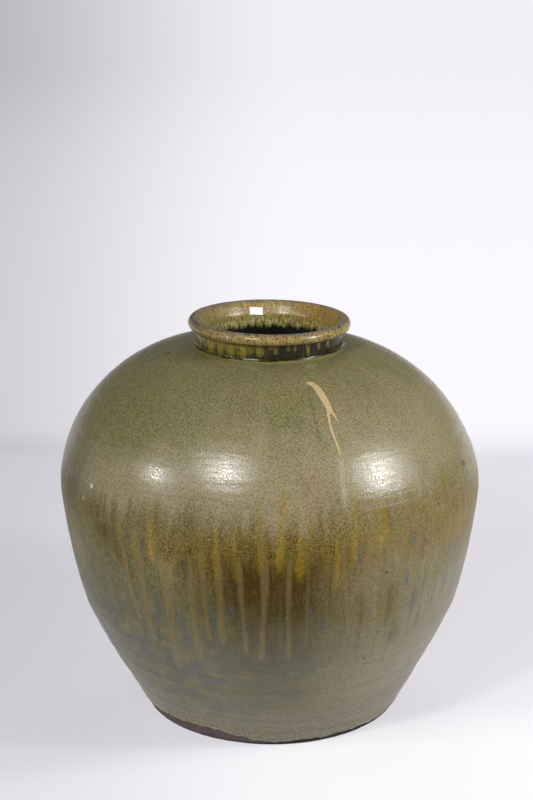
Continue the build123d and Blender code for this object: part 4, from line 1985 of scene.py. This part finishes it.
@dataclass
class PaperLabel(JarPiece):
    """Small blank label stuck on the flare under the lip, at the back."""

    azimuth: float = 191.9
    width: float = 0.021
    height: float = 0.0125
    below_lip: float = 0.0031
    lift: float = 0.0003
    thickness: float = 0.0002
    corner_curl: float = 0.0005
    tilt: float = 4.0

    def build(self, material: bpy.types.Material) -> bpy.types.Object:
        """Make the piece: a sheet bent to the flare, a little askew, its corners lifting.

        Args:
            material: Its finish.

        Returns:
            The piece.
        """
        bpy.ops.object.select_all(action="DESELECT")
        bpy.ops.mesh.primitive_grid_add(x_subdivisions=20, y_subdivisions=12, size=1.0)
        piece = bpy.context.object
        piece.name = piece.data.name = "blank_label"
        flat = points_of(piece)
        tilt, turn = math.radians(self.tilt), self.jar.lip_turn
        wide, high = flat[:, 0] * self.width, -flat[:, 1] * self.height
        across = wide * math.cos(tilt) - high * math.sin(tilt)
        along = self.height / 2 + high * math.cos(tilt) + wide * math.sin(tilt)
        curl = self.corner_curl * (2 * np.abs(flat[:, 0])) ** 4 * (2 * np.abs(flat[:, 1])) ** 4
        top = np.array(self.jar.lip(0.0, 1)[-1])
        down = np.array([-math.cos(turn), -math.sin(turn)])
        off = np.array([-math.sin(turn), math.cos(turn)])
        drop, lifted = (self.below_lip + along)[:, None], (self.lift + curl)[:, None]
        radius, level = (top + down * drop + off * lifted).T
        azimuth = np.radians(self.azimuth) - across / radius
        self.place(piece, np.column_stack([radius * np.sin(azimuth), -radius * np.cos(azimuth), level]))
        self._thicken(piece)
        return self.dress(piece, material, "label_paper", "paper_label")

    def _thicken(self, piece: bpy.types.Object) -> None:
        """Give the sheet its thickness and turn its faces outwards.

        Args:
            piece: The sheet.
        """
        solid = piece.modifiers.new("thickness", "SOLIDIFY")
        solid.thickness = self.thickness
        solid.offset = 0.0
        bpy.ops.object.modifier_apply(modifier=solid.name)
        bpy.ops.object.mode_set(mode="EDIT")
        bpy.ops.mesh.select_all(action="SELECT")
        bpy.ops.mesh.normals_make_consistent(inside=False)
        bpy.ops.object.mode_set(mode="OBJECT")


# Studio


class LampPlace(Enum):
    """The four soft lamps of the studio: azimuth and elevation from the jar."""

    LEFT = (-67.6, 23.2)
    FRONT = (-29.8, 39.4)
    RIGHT = (71.4, 26.6)
    BACK = (176.0, 28.0)


@dataclass(frozen=True)
class Lamp:
    """One soft lamp: a bright middle in front of a wide, weaker diffuser, each a size and a power."""

    place: LampPlace
    middle: Span
    diffuser: Span
    glint: bool = True


@dataclass
class Studio:
    """Pale floor, soft lamps, a plain world and the camera."""

    aim: Vector = field(default_factory=lambda: Vector((0.0, -0.2, 0.45)))
    lamp_distance: float = 2.3
    diffuser_gap: float = 0.05
    lamps: tuple[Lamp, ...] = (
        Lamp(LampPlace.LEFT, (0.06, 6.5), (0.40, 4.6)),
        Lamp(LampPlace.FRONT, (0.27, 23.0), (0.80, 8.5)),
        Lamp(LampPlace.RIGHT, (0.28, 17.5), (1.10, 24.0)),
        Lamp(LampPlace.BACK, (0.80, 3.0), (1.80, 9.0), glint=False),
    )
    camera_place: Vector = field(default_factory=lambda: Vector((-0.0045, -2.477, 1.209)))
    camera_pitch: float = 16.30
    focal_pixels: float = 1667.0
    picture_height: float = 800.0
    sensor: float = 36.0
    floor_size: float = 90.0
    floor_drop: float = 0.0003
    # Painted light and shade on the floor: the left paint of each pair is darker, the shadow band darker
    # than the lit front.
    far_paints: tuple[Rgb, Rgb] = (srgb(206, 205, 212), srgb(251, 249, 254))
    shadow_band_paints: tuple[Rgb, Rgb] = (srgb(219, 218, 225), srgb(241, 239, 245))
    lit_front_paints: tuple[Rgb, Rgb] = (srgb(229, 228, 235), srgb(251, 250, 254))
    side_paint: Rgb = srgb(236, 235, 241)
    shadow_band_edges: Span = (-0.14, 1.16)
    shadow_band_softness: Span = (0.12, 0.13)
    front_slope: float = 0.27
    rightwards: Span = (-0.20, 0.03)
    side_edges: Span = (0.24, 0.60)
    far_shadow: Span = (1.6, 12.0)
    far_glow: float = 0.3
    lit_radii: Span = (1.5, 3.0)
    floor_glow: float = 0.55
    world_light: Rgb = (1.0, 0.98, 0.97)
    world_white: Rgb = (0.93, 0.92, 0.96)
    world_strengths: Span = (0.105, 0.13)
    world_blend: float = 0.8

    def build(self) -> None:
        """Set up the floor, lamps, world, camera and view settings."""
        self._floor()
        for lamp in self.lamps:
            self._hang(lamp)
        self._world()
        self._camera()
        bpy.context.scene.view_settings.view_transform = "Standard"
        LOG.info("studio: %d lamps", len(self.lamps))

    def _floor(self) -> None:
        """Lay the pale floor, which shows its paint, with painted light and shade, to the camera and in
        reflections.
        """
        bpy.ops.object.select_all(action="DESELECT")
        bpy.ops.mesh.primitive_plane_add(size=self.floor_size, location=(0, 0, -self.floor_drop))
        floor = bpy.context.object
        floor.name = "studio_floor"
        g = Graph(bpy.data.materials.new("studio_floor"))
        across, away, _ = g.split(g.coordinate())
        far_edge = self.shadow_band_edges[1]
        paint = self._floor_paint(g, across, away)
        viewed = g.rays("Camera")
        seen = g.most(viewed, g.rays("Glossy"), g.rays("Transmission"))
        share = seen * g.rise(away, far_edge, far_edge + self.far_glow, self.floor_glow, 1.0)
        distance = g.maths("SQRT", across * across + away * away)
        share = g.most(share, viewed * g.rise(distance, *self.lit_radii))
        plain = {"Roughness": 1.0, "Specular_IOR_Level": 0.0}
        matt = g.surface(Base_Color=paint, **plain)
        glow = g.surface(Base_Color=(0.0, 0.0, 0.0), Emission_Color=paint, Emission_Strength=1.0, **plain)
        floor.data.materials.append(g.show(g.blend(share, matt, glow)))

    def _floor_paint(self, g: Graph, across: Signal, away: Signal) -> Signal:
        """Give the floor's paint, with painted light and shade, each part darker to the left: a lit front,
        a band behind it darkened where the jar's shadows fall, the far wall, darker towards the back, and
        plain to the sides.

        Args:
            g: Graph of the floor.
            across: Place to the right of the jar.
            away: Place behind the jar.

        Returns:
            The paint.
        """
        sideways = across / (away - self.camera_place.y)
        # Painted shade: the floor is darker to the left.
        rightwards = g.rise(sideways, *self.rightwards)
        far, shadow_band, front = (
            g.mix(*paints, rightwards) for paints in (self.far_paints, self.shadow_band_paints, self.lit_front_paints)
        )
        # Painted shade: the far part darkens towards the back, most on the left.
        far = g.shade(far, 1.0 - g.rise(away, *self.far_shadow) * (0.24 - 0.16 * rightwards))
        (near_edge, far_edge), (near_soft, far_soft) = self.shadow_band_edges, self.shadow_band_softness
        # Painted light on the front, painted shadow on the band behind it.
        return g.coats(
            front,
            (shadow_band, g.rise(away - across * self.front_slope, near_edge - near_soft, near_edge)),
            (far, g.rise(away, far_edge, far_edge + far_soft)),
            (self.side_paint, g.rise(g.maths("ABSOLUTE", sideways), *self.side_edges)),
        )

    def _hang(self, lamp: Lamp) -> None:
        """Hang one soft lamp that points at the jar.

        Args:
            lamp: The lamp.
        """
        azimuth, elevation = (math.radians(angle) for angle in lamp.place.value)
        level = math.cos(elevation)
        away = Vector((math.sin(azimuth) * level, -math.cos(azimuth) * level, math.sin(elevation)))
        parts = (("middle", lamp.middle, 0.0), ("diffuser", lamp.diffuser, self.diffuser_gap))
        for part, size_and_power, gap in parts:
            data = bpy.data.lights.new(f"lamp_{lamp.place.name.lower()}_{part}", "AREA")
            data.shape = "DISK"
            data.size, data.energy = size_and_power
            holder = bpy.data.objects.new(data.name, data)
            bpy.context.collection.objects.link(holder)
            holder.location = self.aim + away * (self.lamp_distance + gap)
            holder.rotation_euler = away.to_track_quat("Z", "Y").to_euler()
            holder.visible_glossy = lamp.glint

    def _world(self) -> None:
        """Fill the room with plain pale light, and show white behind the floor's edge."""
        world = bpy.data.worlds.new("studio")
        bpy.context.scene.world = world
        g = Graph(world)
        away = g.split(g.coordinate("Generated"))[1]
        strength = g.rise(away, -self.world_blend, self.world_blend, *self.world_strengths)
        light = g.node("ShaderNodeBackground", None, {"Color": self.world_light, "Strength": strength})
        white = g.node("ShaderNodeBackground", None, {"Color": self.world_white, "Strength": 1.0})
        g.show(g.blend(g.rays("Camera"), light, white), "ShaderNodeOutputWorld")

    def _camera(self) -> None:
        """Stand the camera where the photograph was taken from."""
        data = bpy.data.cameras.new("camera")
        data.sensor_width = self.sensor
        data.lens = self.focal_pixels / self.picture_height * self.sensor
        camera = bpy.data.objects.new("camera", data)
        bpy.context.collection.objects.link(camera)
        camera.location = self.camera_place
        camera.rotation_euler = (math.radians(90.0 - self.camera_pitch), 0.0, 0.0)
        bpy.context.scene.camera = camera


def main() -> None:
    """Build the jar and its studio."""
    logging.basicConfig(level=logging.INFO, format="%(name)s: %(message)s")
    jar = JarShape.from_frame()
    lean = Lopsidedness()
    olive = OliveGlaze(jar, lean)
    BodyGlaze(jar, lean).build(olive.material())
    NeckCoat(jar, lean).build(NeckGlaze(olive).material())
    InnerGlaze(jar, lean).build(InsideGlaze().material())
    ClaySections(jar, lean).build(BareClay().material())
    PaperLabel(jar, lean).build(LabelPaper().material())
    Studio().build()


if __name__ == "__main__":
    main()
